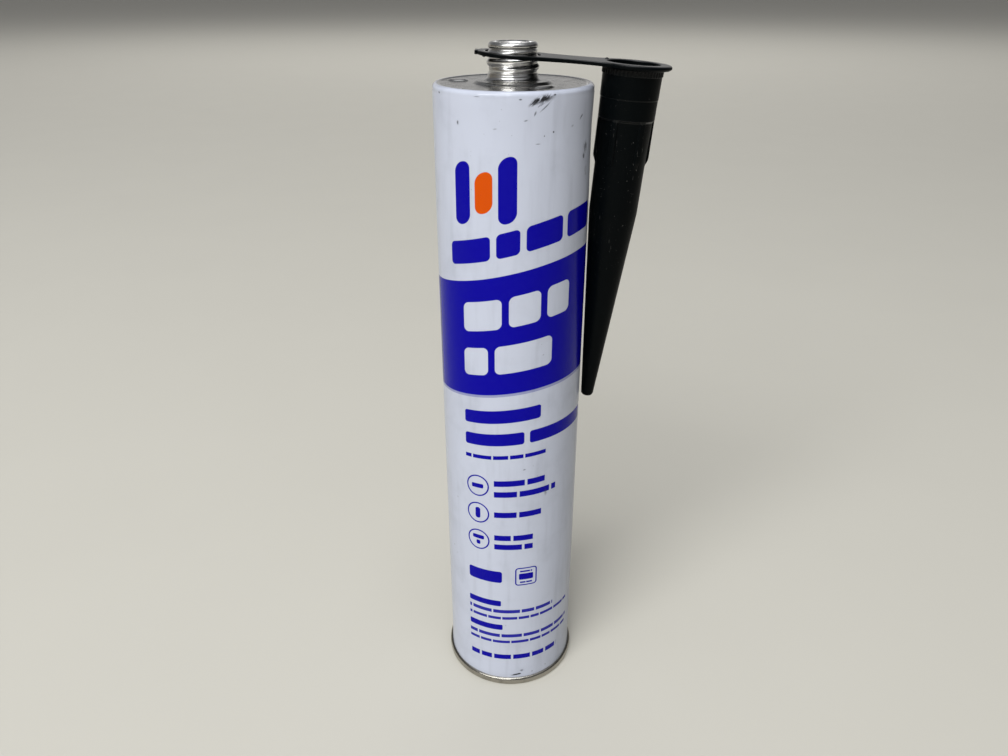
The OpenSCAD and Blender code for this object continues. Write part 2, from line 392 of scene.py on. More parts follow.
@dataclass(frozen=True)
class Noise:
    """Smooth noise from 0 to 1.

    Attributes:
        scale: Its features in a millimetre.
        detail: How many finer layers it has.
        rough: How strong each finer layer is, as a share of the one before.
        stretch: A further scale along X, Y and Z, where it isn't the same along each.
        turn: The turn about X, Y and Z that goes with the stretch, in degrees.
    """

    scale: float
    detail: float = 2.0
    rough: float = 0.5
    stretch: tuple[float, float, float] | None = None
    turn: tuple[float, float, float] = (0.0, 0.0, 0.0)

    def at(self, nodes: Nodes, vector: Signal) -> Signal:
        """The noise at each place.

        Args:
            nodes: The material's nodes.
            vector: The place, in millimetres.

        Returns:
            The noise.
        """
        if self.stretch:
            vector = nodes.add("ShaderNodeMapping", {"vector_type": "POINT"},
                               {"Vector": vector, "Scale": self.stretch,
                                "Rotation": tuple(map(math.radians, self.turn))})
        return nodes.add("ShaderNodeTexNoise", None, {"Vector": vector, "Scale": self.scale,
                                                      "Detail": self.detail, "Roughness": self.rough})


@dataclass(frozen=True)
class Patches:
    """Uneven patches: a noise that is cut off between two levels.

    Attributes:
        noise: The noise.
        low: Its level where a patch begins.
        high: Its level where the patch is full.
    """

    noise: Noise
    low: float
    high: float

    def mask(self, nodes: Nodes, vector: Signal) -> Signal:
        """Where the patches lie: 1 inside and 0 outside."""
        return self.noise.at(nodes, vector).step(self.low, self.high)


@dataclass(frozen=True)
class Smudge:
    """A dirty or worn patch on the wall: an oval that is filled with fine strokes.

    Attributes:
        azimuth: Its direction in degrees, 0 to the camera and positive to the right.
        height: Its height above the base.
        wide: Half its size round the wall, before its tilt.
        tall: Half its size up the wall, before its tilt.
        tilt: How far its right end is turned up, in degrees.
        lean: The strokes' slant in degrees, 0 upright and positive to the right.
        grain: Strokes in a millimetre, counted across them.
        drawn: How many times longer than wide the strokes are.
        cover: The noise's level above which the strokes show.
        strength: How dark it is, from 0 to 1.
        core: Share of the oval's size inside which it is full.
        swell: How far the strokes' level rises in the oval's middle.
        soft: How far above the cover's level the strokes are full.
        strokes: The noise of the strokes.
    """

    azimuth: float
    height: float
    wide: float
    tall: float
    tilt: float = 0.0
    lean: float = 0.0
    grain: float = 1.5
    drawn: float = 1.0
    cover: float = 0.4
    strength: float = 1.0
    core: float = 0.2
    swell: float = 0.12
    soft: float = 0.12
    strokes: Noise = Noise(1.0, 2.0, 0.6)

    def mask(self, nodes: Nodes, azimuth: Signal, z: Signal, wall_r: float) -> Signal:
        """Where the patch lies: noise stretched along the strokes, cut off by the oval.

        Args:
            nodes: The material's nodes.
            azimuth: Direction from the axis, in degrees.
            z: Height.
            wall_r: The wall's radius.

        Returns:
            The strength at each place.
        """
        x = (azimuth - self.azimuth) * (math.radians(1) * wall_r)
        y = z - self.height
        cos_tilt, sin_tilt = math.cos(math.radians(self.tilt)), math.sin(math.radians(self.tilt))
        cos_lean, sin_lean = math.cos(math.radians(self.lean)), math.sin(math.radians(self.lean))
        u = (x * cos_tilt + y * sin_tilt) / self.wide
        v = (y * cos_tilt - x * sin_tilt) / self.tall
        near = (u * u + v * v).maths("SQRT").step(1.0, self.core)
        along = y * cos_lean + x * sin_lean
        across = x * cos_lean - y * sin_lean
        place = nodes.add("ShaderNodeCombineXYZ", None,
                          {0: across * self.grain, 1: along * (self.grain / self.drawn), 2: self.height})
        level = self.strokes.at(nodes, place) + near * self.swell
        return near * level.step(self.cover, self.cover + self.soft) * self.strength


class Ink(Enum):
    """What a printed shape is printed in."""

    BLUE = "blue"
    WHITE = "white"
    ORANGE = "orange"


@dataclass(frozen=True)
class Block:
    """A printed block with rounded corners.

    Attributes:
        left: Its left edge, in millimetres round the wall from the camera's side.
        right: Its right edge.
        low: Its lower edge on the label.
        high: Its upper edge on the label.
        corner: Radius of its corners.
        line: Thickness of its outline, or 0 for a full block.
        ink: What it is printed in.
        least_corner: Least radius of the corners inside an outline.
    """

    left: float
    right: float
    low: float
    high: float
    corner: float = 0.8
    line: float = 0.0
    ink: Ink = Ink.BLUE
    least_corner: float = 0.2

    def mask(self, across: Signal, up: Signal, edge: float) -> Signal:
        """Where the block is printed, by the distance to a rounded rectangle.

        The distance is the length of the part by which a point lies past the rectangle that is smaller by
        the corner's radius, less that radius.

        Args:
            across: Distance round the wall.
            up: Height on the label.
            edge: Width of the soft edge.

        Returns:
            1 on the block.
        """
        x = ((across - (self.left + self.right) / 2).maths("ABSOLUTE")
             - ((self.right - self.left) / 2 - self.corner)).maths("MAXIMUM", 0.0)
        y = ((up - (self.low + self.high) / 2).maths("ABSOLUTE")
             - ((self.high - self.low) / 2 - self.corner)).maths("MAXIMUM", 0.0)
        past = (x * x + y * y).maths("SQRT")
        full = past.step(self.corner + edge, self.corner - edge)
        if not self.line:
            return full
        inside = Block(self.left + self.line, self.right - self.line, self.low + self.line,
                       self.high - self.line, max(self.corner - self.line, self.least_corner))
        return full - inside.mask(across, up, edge)


@dataclass(frozen=True)
class WordRow:
    """A row of small print, shown as plain bars with gaps at uneven distances.

    Attributes:
        left: Where the row begins, in millimetres round the wall from the camera's side.
        right: Where it ends.
        middle: Height of its middle on the label.
        size: Height of its bars.
        word: Mean length of a bar with its gap.
        strength: How dark it is printed, from 0 to 1.
        shift: Cells by which the pattern moves along for each millimetre of height.
        gap: Half the gap between two bars, as a share of their height.
    """

    left: float
    right: float
    middle: float
    size: float
    word: float
    strength: float = 1.0
    shift: float = 7.3
    gap: float = 0.19

    def mask(self, nodes: Nodes, across: Signal, up: Signal, edge: float) -> Signal:
        """Where the row is printed: inside its bounds, and away from the edges of uneven cells along it.

        Args:
            nodes: The material's nodes.
            across: Distance round the wall.
            up: Height on the label.
            edge: Width of the soft edge.

        Returns:
            1 on the bars.
        """
        cell = across / self.word + self.middle * self.shift
        from_gap = nodes.add("ShaderNodeTexVoronoi",
                             {"voronoi_dimensions": "1D", "feature": "DISTANCE_TO_EDGE"},
                             {"W": cell, "Scale": 1.0})
        half, soft = self.size * self.gap / self.word, edge / self.word
        bars = from_gap.step(half - soft, half + soft)
        return (bars * across.within(self.left, self.right, edge)
                * up.within(self.middle - self.size / 2, self.middle + self.size / 2, edge)) * self.strength


@dataclass(frozen=True)
class MetalFinish:
    """Bare metal with dull patches.

    Attributes:
        colour: The metal's colour.
        dull_share: How much darker a dull patch is.
        least_rough: Roughness where the metal is brightest.
        more_rough: How much rougher a dull patch is.
        wave: Height of the surface's waves, in millimetres.
        wave_strength: How much of the waves' slope shows.
        dull: The noise of the dull patches.
        dull_from: The noise's level where a patch begins.
        dull_full: The level where it is full.
    """

    colour: Colour = (0.80, 0.79, 0.77)
    dull_share: float = 0.3
    least_rough: float = 0.13
    more_rough: float = 0.22
    wave: float = 0.010
    wave_strength: float = 0.3
    dull: Noise = Noise(0.35, 4.0, 0.6)
    dull_from: float = 0.45
    dull_full: float = 0.8

    def surface(self, nodes: Nodes, vector: Signal) -> tuple[Signal, Signal, Signal]:
        """The metal's colour, roughness and normal.

        Args:
            nodes: The material's nodes.
            vector: The place on the object.

        Returns:
            The three signals.
        """
        dull = self.dull.at(nodes, vector)
        darker = tuple(channel * (1 - self.dull_share) for channel in self.colour)
        colour = nodes.blend(dull.step(self.dull_from, self.dull_full), self.colour, darker)
        rough = dull * self.more_rough + self.least_rough
        return colour, rough, nodes.bump(dull, self.wave, self.wave_strength)

    def material(self, name: str) -> bpy.types.Material:
        """Makes the finish.

        Args:
            name: The material's name.

        Returns:
            The material.
        """
        nodes = Nodes(bpy.data.materials.new(name))
        vector, *_ = nodes.place()
        colour, rough, normal = self.surface(nodes, vector)
        return nodes.close({"Base Color": colour, "Metallic": 1.0, "Roughness": rough, "Normal": normal})


@dataclass(frozen=True)
class CanFinish:
    """Gloss paint with plain printed fields on the wall, and bare aluminium on shoulder, neck and seam.

    Attributes:
        wall_r: The wall's radius.
        shoulder_z: Height of the shoulder's edge.
        paint_edge_r: Radius where the paint ends on the shoulder.
        seam_z: Height of the rolled end's top.
        paint: The paint's colour.
        blue: The print's blue.
        orange: The print's orange.
        metal: The bare metal.
        soot: The colour of scuffs.
        edge: Half width of the print's soft edges.
        slant_rise: How much more the label is tilted, for each millimetre of height.
        slant_start: The label's tilt at the base, by the rise and before the least one.
        slant_least: The label's least tilt: how far it is higher at a quarter turn to the right.
        bow: How far the label's rows sag towards the camera's side.
        band: Lower and upper edge of the blue band on the label.
        fringe: Height of the pale line under the band.
        faint: How much ink the pale line has, from 0 to 1.
        ragged: The noise of the paint's fine unevenness.
        ragged_h: How far it moves the paint's lower edge.
        paint_soft: Half width of the paint's edge on the shoulder.
        seam_gap: Where the paint begins above the rolled end, and where it is full.
        cloudy: The wall's broad dull patches.
        streaks: Its upright streaks.
        patch_share: How much of the dimmer colour each of the two brings.
        dim: The dimmer colour, as a share of the paint's.
        specks: Fine specks of dirt.
        speck_areas: Where on the wall specks lie.
        speck_strength: How dark they are.
        paint_rough: The clean paint's roughness.
        dirt_rough: How much rougher dirt is.
        paint_bump: Height of the paint's unevenness, in millimetres.
        bump_strength: How much of its slope shows.
        shine: The paint's mirror level.
        coat_band: Depths under the shoulder between which the rounded corner's gloss grows.
        coat_corner: How much more gloss the corner has.
        coat_wall: The wall's gloss.
        coat_rough: The gloss's roughness.
        blocks: The printed blocks: left, right, low, high, corner and line of each.
        rows: The rows of small print: left, right, middle, size, word and strength of each.
    """

    wall_r: float
    shoulder_z: float
    paint_edge_r: float
    seam_z: float
    paint: Colour = (0.495, 0.522, 0.608)
    blue: Colour = (0.0020, 0.0006, 0.27)
    orange: Colour = (0.56, 0.068, 0.001)
    metal: MetalFinish = MetalFinish()
    soot: Colour = (0.02, 0.02, 0.023)
    edge: float = 0.07
    slant_rise: float = 0.051
    slant_start: float = -2.875
    slant_least: float = 0.5
    bow: float = 2.2
    band: tuple[float, float] = (126.1, 165.7)
    fringe: float = 0.9
    faint: float = 0.45
    ragged: Noise = Noise(2.2, 3.0)
    ragged_h: float = 0.5
    paint_soft: float = 0.05
    seam_gap: tuple[float, float] = (0.15, 0.35)
    cloudy: Patches = Patches(Noise(0.08, 4.0, 0.6), 0.45, 0.8)
    streaks: Patches = Patches(Noise(1.0, 3.0, stretch=(0.30, 0.30, 0.035)), 0.48, 0.78)
    patch_share: float = 0.5
    dim: float = 0.80
    specks: Patches = Patches(Noise(0.75, 1.0), 0.775, 0.80)
    speck_areas: Patches = Patches(Noise(0.05), 0.5, 0.62)
    speck_strength: float = 0.7
    paint_rough: float = 0.20
    dirt_rough: float = 0.25
    paint_bump: float = 0.004
    bump_strength: float = 0.5
    shine: float = 0.06
    coat_band: tuple[float, float] = (2.6, 1.0)
    coat_corner: float = 0.9
    coat_wall: float = 0.04
    coat_rough: float = 0.12
    blocks: tuple[Block, ...] = (
        Block(-18.0, -12.6, 183.6, 202.0, 2.6), Block(-4.0, 1.4, 181.0, 199.6, 2.6),
        Block(-11.0, -5.6, 185.6, 197.4, 2.6, ink=Ink.ORANGE),
        Block(-20.4, -6.4, 171.2, 178.6, 1.4), Block(-4.6, 2.4, 171.2, 178.6, 1.4),
        Block(4.2, 16.0, 171.2, 178.6, 1.4), Block(17.8, 31.0, 171.2, 178.6, 1.4),
        Block(-15.8, -3.0, 148.8, 158.6, 1.8, ink=Ink.WHITE),
        Block(-0.8, 9.0, 148.8, 158.6, 1.8, ink=Ink.WHITE),
        Block(11.2, 19.6, 148.8, 158.6, 1.8, ink=Ink.WHITE),
        Block(-16.0, -7.4, 133.4, 143.0, 1.8, ink=Ink.WHITE),
        Block(-5.2, 13.2, 133.4, 143.0, 1.8, ink=Ink.WHITE),
        Block(-16.4, 9.9, 115.4, 120.2, 0.9), Block(-16.4, 4.4, 106.8, 111.4, 0.9),
        Block(6.2, 32.0, 106.8, 111.4, 0.9),
        Block(-16.3, -7.5, 85.7, 94.5, 4.4, 0.55), Block(-16.3, -7.5, 74.1, 82.9, 4.4, 0.55),
        Block(-16.3, -7.5, 62.2, 71.0, 4.4, 0.55),
        Block(-14.2, -9.6, 89.2, 91.0, 0.5), Block(-12.9, -10.9, 76.2, 80.8, 0.9),
        Block(-14.2, -9.6, 66.9, 68.6, 0.5), Block(-12.7, -11.1, 64.4, 66.2, 0.5),
        Block(-16.2, -3.0, 48.2, 53.4, 1.0), Block(1.7, 9.8, 46.9, 55.1, 1.3, 0.5),
        Block(3.1, 8.4, 49.6, 52.4, 0.5), Block(-16.3, -3.4, 37.0, 39.6, 0.5),
        Block(-16.3, -2.8, 25.3, 27.9, 0.5))
    rows: tuple[WordRow, ...] = (
        WordRow(-16.5, 12.2, 102.2, 1.5, 6.4), WordRow(-5.8, 12.0, 91.7, 2.3, 16.0),
        WordRow(-5.8, 16.6, 87.2, 2.3, 10.0), WordRow(-5.8, 10.9, 78.6, 2.3, 9.0),
        WordRow(-5.8, 8.0, 68.6, 2.3, 16.0), WordRow(-5.8, 8.0, 64.6, 2.3, 16.0),
        WordRow(3.5, 8.0, 53.4, 0.7, 8.0), WordRow(3.5, 8.0, 48.4, 0.7, 8.0),
        WordRow(-16.3, 17.3, 34.5, 1.6, 7.5, 0.96), WordRow(-16.3, 26.5, 31.2, 1.3, 5.6, 0.96),
        WordRow(-16.3, 26.8, 22.4, 1.6, 7.2, 0.96), WordRow(-16.3, 26.0, 19.3, 1.3, 6.0, 0.96),
        WordRow(-15.9, 20.4, 11.5, 2.3, 6.2))

    def printed(self, nodes: Nodes, across: Signal, up: Signal, below: Signal) -> Signal:
        """The paint with the print on it: the inks' masks added up, with the blue cut out where it is white.

        Args:
            nodes: The material's nodes.
            across: Distance round the wall.
            up: Height on the label.
            below: The paint's colour.

        Returns:
            The colour.
        """
        masks: dict[Ink, Any] = {ink: 0.0 for ink in Ink}
        for block in self.blocks:
            masks[block.ink] = block.mask(across, up, self.edge) + masks[block.ink]
        for row in self.rows:
            masks[Ink.BLUE] = row.mask(nodes, across, up, self.edge) + masks[Ink.BLUE]
        band = up.within(*self.band, self.edge) * (1 - masks[Ink.WHITE])
        fringe = up.within(self.band[0] - self.fringe, self.band[0], self.edge) * self.faint
        blue = (band + fringe + masks[Ink.BLUE]).maths("MINIMUM", 1.0)
        return nodes.blend(masks[Ink.ORANGE], nodes.blend(blue, below, self.blue), self.orange)

    def dirt(self, nodes: Nodes, vector: Signal, azimuth: Signal, z: Signal,
             smudges: Sequence[Smudge]) -> Signal:
        """Dirt on the paint: the smudges' masks and the specks added up, 1 at most.

        Args:
            nodes: The material's nodes.
            vector: The place on the object.
            azimuth: Direction from the axis, in degrees.
            z: Height.
            smudges: The dirty and worn patches.

        Returns:
            How much dirt covers the paint, from 0 to 1.
        """
        soot = sum((patch.mask(nodes, azimuth, z, self.wall_r) for patch in smudges), start=0.0)
        specks = self.specks.mask(nodes, vector) * self.speck_areas.mask(nodes, vector)
        return (soot + specks * self.speck_strength).maths("MINIMUM", 1.0)

    def material(self, name: str, smudges: Sequence[Smudge]) -> bpy.types.Material:
        """Makes the finish. The label's rows follow a slanting curve round the wall.

        A place's height on the label is z - slant * sin(turn) - bow * cos(turn), with turn its direction
        from the camera's side. The slant grows with the height.

        Args:
            name: The material's name.
            smudges: The wall's dirty and worn patches.

        Returns:
            The material.
        """
        nodes = Nodes(bpy.data.materials.new(name))
        vector, x, y, z = nodes.place()
        radius = (x * x + y * y).maths("SQRT")
        turn = x.maths("ARCTAN2", y * -1)
        across = turn * self.wall_r
        slant = (z * self.slant_rise + self.slant_start).maths("MAXIMUM", self.slant_least)
        up = z - slant * turn.maths("SINE") - turn.maths("COSINE") * self.bow
        ragged = self.ragged.at(nodes, vector)
        from_seam, full_seam = (self.seam_z + gap for gap in self.seam_gap)
        on_shoulder = radius.step(self.paint_edge_r - self.paint_soft, self.paint_edge_r + self.paint_soft)
        on_wall = on_shoulder * (z + ragged * self.ragged_h).step(from_seam, full_seam)
        patches = (self.cloudy.mask(nodes, vector) * self.patch_share
                   + self.streaks.mask(nodes, vector) * self.patch_share)
        white = nodes.blend(patches, self.paint, tuple(channel * self.dim for channel in self.paint))
        dirt = self.dirt(nodes, vector, turn * math.degrees(1), z, smudges)
        painted = nodes.blend(dirt, self.printed(nodes, across, up, white), self.soot)
        bare, bare_rough, bare_normal = self.metal.surface(nodes, vector)
        normal = nodes.bump(ragged * on_wall, self.paint_bump, self.bump_strength)
        nodes.join(bare_normal, normal.socket.node.inputs["Normal"])
        from_coat, full_coat = (self.shoulder_z - depth for depth in self.coat_band)
        return nodes.close({
            "Base Color": nodes.blend(on_wall, bare, painted),
            "Metallic": 1 - on_wall,
            "Roughness": on_wall * (dirt * self.dirt_rough + self.paint_rough) + (1 - on_wall) * bare_rough,
            "Normal": normal,
            "Specular IOR Level": self.shine,
            "Coat Weight": on_wall * (z.step(from_coat, full_coat) * self.coat_corner + self.coat_wall),
            "Coat Roughness": self.coat_rough,
        })


@dataclass(frozen=True)
class Gleam:
    """A ring round the nozzle that shines more than the rest.

    Attributes:
        start: Depth below the flange's top where it begins.
        full: Depth from which it is full.
        fade: Depth from which it fades.
        end: Depth where it ends.
        weight: How much it shines.
    """

    start: float
    full: float
    fade: float
    end: float
    weight: float

    def mask(self, depth: Signal) -> Signal:
        """Where the ring lies, times its weight."""
        return depth.step(self.start, self.full) * depth.step(self.end, self.fade) * self.weight


@dataclass(frozen=True)
class PlasticFinish:
    """Black moulded plastic with a faint sheen, fine grain, dust and a few light scratches.

    Attributes:
        top_z: Height of the strap's top on the neck's axis.
        tilt: The strap's fall towards the nozzle, in degrees.
        colour: The plastic's colour.
        dust: The dust's colour.
        dust_cover: How much of the plastic's colour full dust hides.
        dust_at: Distance below the nozzle's highest point where the dust is thickest.
        dust_reach: Distances from there at which the dust ends, and inside which it is full.
        specks: Specks of dust.
        speck_share: How strong the specks are: on the dusty stretch, and how much everywhere.
        powder: Fine powdery dust.
        powder_areas: Where the powder lies.
        powder_share: How strong the powder is.
        scratches: Long slanting scratches.
        scratch_share: How strong the scratches are.
        grain: The noise of the plastic's grain.
        flow: The noise of the streaks that the flowing plastic left.
        rough: The plastic's least roughness.
        grain_rough: How much rougher the grain makes it.
        flow_rough: How much rougher the streaks make it.
        dust_rough: How much rougher dust is.
        shine: The plastic's mirror level.
        top_gleam: Depths at which the top's gloss ends, and above which it is full.
        rings: The rings that shine more: the serrations, the collar's step and the grip's ledge.
        coat_rough: The gloss's roughness.
        bump: Height of grain and streaks, in millimetres.
        bump_grain: The grain's share of that height.
        bump_strength: How much of its slope shows.
    """

    top_z: float
    tilt: float
    colour: Colour = (0.0010, 0.0017, 0.0020)
    dust: Colour = (0.33, 0.32, 0.30)
    dust_cover: float = 0.65
    dust_at: float = 38.0
    dust_reach: tuple[float, float] = (34.0, 4.0)
    specks: Patches = Patches(Noise(1.9, 2.0, 0.6), 0.71, 0.76)
    speck_share: tuple[float, float] = (0.85, 0.1)
    powder: Patches = Patches(Noise(6.0, 2.0, 0.7), 0.66, 0.80)
    powder_areas: Patches = Patches(Noise(0.12), 0.5, 0.7)
    powder_share: float = 0.3
    scratches: Patches = Patches(Noise(1.0, 1.0, stretch=(2.2, 2.2, 0.16), turn=(0, 32, 20)), 0.755, 0.80)
    scratch_share: float = 0.3
    grain: Noise = Noise(3.0, 3.0)
    flow: Noise = Noise(1.0, 2.0, stretch=(0.5, 0.5, 0.05))
    rough: float = 0.28
    grain_rough: float = 0.10
    flow_rough: float = 0.14
    dust_rough: float = 0.2
    shine: float = 0.05
    top_gleam: tuple[float, float] = (0.35, 0.1)
    rings: tuple[Gleam, ...] = (Gleam(1.5, 1.8, 3.1, 3.3, 0.25), Gleam(9.25, 9.35, 9.6, 9.7, 0.25),
                                Gleam(14.95, 15.05, 15.65, 15.8, 0.45))
    coat_rough: float = 0.28
    bump: float = 0.02
    bump_grain: float = 0.5
    bump_strength: float = 0.5

    def material(self, name: str) -> bpy.types.Material:
        """Makes the finish. Depth is (top - z) * cos(tilt) - x * sin(tilt), along the hanging nozzle.

        Args:
            name: The material's name.

        Returns:
            The material.
        """
        nodes = Nodes(bpy.data.materials.new(name))
        vector, x, _, z = nodes.place()
        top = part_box("nozzle")[1].z / MM
        turn = math.radians(self.tilt)
        depth = (self.top_z - z) * math.cos(turn) - x * math.sin(turn)
        dusty = (top - z - self.dust_at).maths("ABSOLUTE").step(*self.dust_reach)
        specks = self.specks.mask(nodes, vector) * (dusty * self.speck_share[0] + self.speck_share[1])
        powder = self.powder.mask(nodes, vector) * self.powder_areas.mask(nodes, vector)
        scratches = self.scratches.mask(nodes, vector) * dusty
        dust = (specks + powder * self.powder_share + scratches * self.scratch_share).maths("MINIMUM", 1.0)
        grain, flow = self.grain.at(nodes, vector), self.flow.at(nodes, vector)
        return nodes.close({
            "Base Color": nodes.blend(dust * self.dust_cover, self.colour, self.dust),
            "Roughness": (grain * self.grain_rough + flow * self.flow_rough + dust * self.dust_rough
                          + self.rough),
            "Specular IOR Level": self.shine,
            "Coat Weight": sum((ring.mask(depth) for ring in self.rings), start=depth.step(*self.top_gleam)),
            "Coat Roughness": self.coat_rough,
            "Normal": nodes.bump(grain * self.bump_grain + flow, self.bump, self.bump_strength),
        })


@dataclass(frozen=True)
class Dent:
    """A smooth dent in the wall: depth * exp(-(x / across)^2 - (y / along)^2) about its middle.

    Attributes:
        azimuth: Its direction in degrees, 0 to the camera and positive to the right.
        height: Its height above the base.
        depth: Its depth.
        across: Its half width round the wall.
        along: Its half height.
    """

    azimuth: float
    height: float
    depth: float
    across: float
    along: float


@dataclass(frozen=True)
class Stamp:
    """A low oval pressed up in the shoulder.

    Attributes:
        azimuth: Its direction in degrees, 0 to the camera and positive to the right.
        radius: Distance of its middle from the axis.
        rise: Its height.
        round_half: Half its size round the shoulder.
        radial_half: Half its size away from the axis.
    """

    azimuth: float
    radius: float
    rise: float
    round_half: float
    radial_half: float


@dataclass(frozen=True)
class Ripple:
    """A low wave round the axis: height * sin(count * angle + start + along / length).

    Attributes:
        height: Its height.
        count: How many waves a turn has.
        start: Its phase at angle 0, in radians.
        length: Distance along the surface over which its phase grows by one radian.
    """

    height: float
    count: int
    start: float = 0.0
    length: float = math.inf

    def at(self, angle: Array, along: Array) -> Array:
        """The wave's height at each angle and place along the surface."""
        return self.height * np.sin(self.count * angle + self.start + along / self.length)


@dataclass
class Cartridge:
    """The drawn can with its threaded neck and seal, and the end that is rolled onto its foot.

    Attributes:
        wall_r: The wall's radius.
        recess_r: Radius of the rolled end's recess.
        thread_r: Outer radius of the neck's thread.
        band_r: Radius of the rolled end's band.
        top_z: Height of the seal's top.
        columns: Columns of the meshes round the axis.
        neck_h: Height of the neck over the shoulder's edge.
        corner_r: Radius of the wall's rounded corner.
        corner_from: Angle at which the corner's arc begins, in degrees.
        flare_out: How far the wall flares out under the corner.
        waist_in: How far it draws in below the flare.
        waist_len: Length of waist and flare.
        waist_share: Share of that length after which the wall flares.
        edge_w: Width of the painted edge that lies flat on the shoulder.
        paint_lap: How far outside the edge's inner rim the paint ends.
        slope_w: Width of the slope inside it.
        shoulder_drop: Height of that slope.
        step_r: Radius of the raised step round the neck.
        step_h: Height of the step's top over the shoulder's edge.
        step_slope: Width of the step's slope.
        foot_r: Radius of the sweep at the neck's foot.
        foot_out_r: Radius where the sweep begins.
        root_r: Radius of the neck at its thread's root.
        root_near: How near to that radius a point counts as on the neck.
        neck_from: Height over the shoulder's edge where the straight neck begins.
        neck_clear: Height over the shoulder's edge under which no thread is.
        pitch: The thread's pitch.
        thread_low: Height over the shoulder's edge where the thread begins.
        thread_high: Height over it where the thread ends.
        thread_from: Direction in which it begins, in degrees from +X.
        thread_fade: Share of its climb over which it fades at each end.
        ridge_flat: Half the width of the ridge's flat top, in pitches.
        ridge_foot: Half the width of the ridge's foot, in pitches.
        seal_r: Radius of the seal's rim.
        seal_t: Thickness of the rim.
        seal_low: Share of the thickness that the rim's lower arc takes.
        seal_arcs: Angles at which the lower and the upper arc of the rim begin, in degrees.
        groove_h: Height of the groove under the rim.
        groove_in: Depth of the groove.
        groove_bend: Share of the groove's depth and of its height at the bend of its slope.
        groove_full: Share of its height at which it is fully deep.
        seal_rim_w: Width of the rim.
        seal_dish: How far the membrane lies below the rim.
        seal_dish_w: Distance inside the rim at which the membrane's flat rows begin.
        seam_h: Height of the rolled end's band.
        seam_lap: How far above the band the wall's rows begin.
        seam_round: Radius of the band's lower edges.
        seam_shoulder: Radius of its upper edge.
        foot_flare: How far the wall flares out just above the band.
        flare_span: Heights over the band at which that ends, and under which it is full.
        foot_z: Height of the can's own foot inside the band.
        inner_gap: How far the can's closed inside lies outside the recess.
        inner_h: How far it lies above the recess.
        recess_depth: Depth of the recess.
        recess_round: Radius in the recess's corner.
        panel_t: Thickness of the rolled end's panel.
        seam_in: How far the rolled end's inside lies inside the wall's radius.
        end_bead_r: Radius of the ring stamped in the rolled end.
        end_bead_w: Width of that ring.
        end_bead_h: Height of that ring.
        dent_fade: Height over the band, and width from the painted edge's inner rim outwards, over which
            dents fade in.
        stamp_flat: Share of a stamped oval's size that is flat on top.
        stamp_span: Gaps over which the shoulder's unevenness fades, from the sweep and step inside and
            from the painted edge outside.
        ding_rise: Heights between which the band's dings fade in.
        tin: The rolled end's finish.
        wall_ripples: The drawn wall's unevenness.
        shoulder_ripples: The shoulder's unevenness.
        band_ripples: The band's dings: the product of the first two waves, and the third.
        dents: The wall's dents: azimuth, height, depth, across and along of each.
        stamps: The shoulder's ovals: azimuth, radius, rise, round_half and radial_half of each.
        smudges: The dirty and worn patches. Each row has its azimuth, height, wide, tall, tilt, lean,
            grain, drawn, cover and strength.
    """

    wall_r: float = mount("gun_cradle")["dims"]["r_mm"]
    recess_r: float = mount("end_recess")["dims"]["r_mm"]
    thread_r: float = mount("neck_thread")["dims"]["r_mm"]
    band_r: float = -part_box("cartridge")[0].x / MM
    top_z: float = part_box("cartridge")[1].z / MM
    columns: int = 336
    neck_h: float = 10.7
    corner_r: float = 1.3
    corner_from: float = 10.0
    flare_out: float = 0.12
    waist_in: float = 0.12
    waist_len: float = 40.0
    waist_share: float = 0.75
    edge_w: float = 0.4
    paint_lap: float = 0.1
    slope_w: float = 0.9
    shoulder_drop: float = 0.25
    step_r: float = 10.4
    step_h: float = 0.5
    step_slope: float = 1.7
    foot_r: float = 1.6
    foot_out_r: float = 8.85
    root_r: float = 6.95
    root_near: float = 0.01
    neck_from: float = 2.5
    neck_clear: float = 1.5
    pitch: float = 2.2
    thread_low: float = 3.1
    thread_high: float = 8.5
    thread_from: float = 196.0
    thread_fade: float = 0.125
    ridge_flat: float = 0.05
    ridge_foot: float = 0.52
    seal_r: float = 7.1
    seal_t: float = 1.8
    seal_low: float = 0.4
    seal_arcs: tuple[float, float] = (-80.0, 15.0)
    groove_h: float = 0.4
    groove_in: float = 0.2
    groove_bend: tuple[float, float] = (0.6, 0.2)
    groove_full: float = 0.5
    seal_rim_w: float = 2.3
    seal_dish: float = 0.18
    seal_dish_w: float = 0.6
    seam_h: float = 2.8
    seam_lap: float = 0.1
    seam_round: float = 0.55
    seam_shoulder: float = 0.9
    foot_flare: float = 0.14
    flare_span: tuple[float, float] = (9.0, 1.0)
    foot_z: float = 1.0
    inner_gap: float = 0.5
    inner_h: float = 1.2
    recess_depth: float = 4.2
    recess_round: float = 0.4
    panel_t: float = 0.5
    seam_in: float = 0.4
    end_bead_r: float = 14.0
    end_bead_w: float = 5.0
    end_bead_h: float = 0.6
    dent_fade: tuple[float, float] = (2.0, 1.0)
    stamp_flat: float = 0.62
    stamp_span: tuple[float, float, float] = (0.8, 0.4, 1.2)
    ding_rise: tuple[float, float] = (0.3, 1.0)
    tin: MetalFinish = MetalFinish(colour=(0.40, 0.38, 0.335), dull_share=0.35, least_rough=0.12,
                                   more_rough=0.2, wave=0.02)
    wall_ripples: tuple[Ripple, ...] = (
        Ripple(0.018, 7, 0.4), Ripple(0.018, 11, length=60.0), Ripple(0.018, 3, length=37.0))
    shoulder_ripples: tuple[Ripple, ...] = (Ripple(0.02, 2, 1.2), Ripple(0.012, 5, length=1.0))
    band_ripples: tuple[Ripple, Ripple, Ripple] = (Ripple(0.035, 9, 1.0), Ripple(1.0, 4), Ripple(0.02, 23))
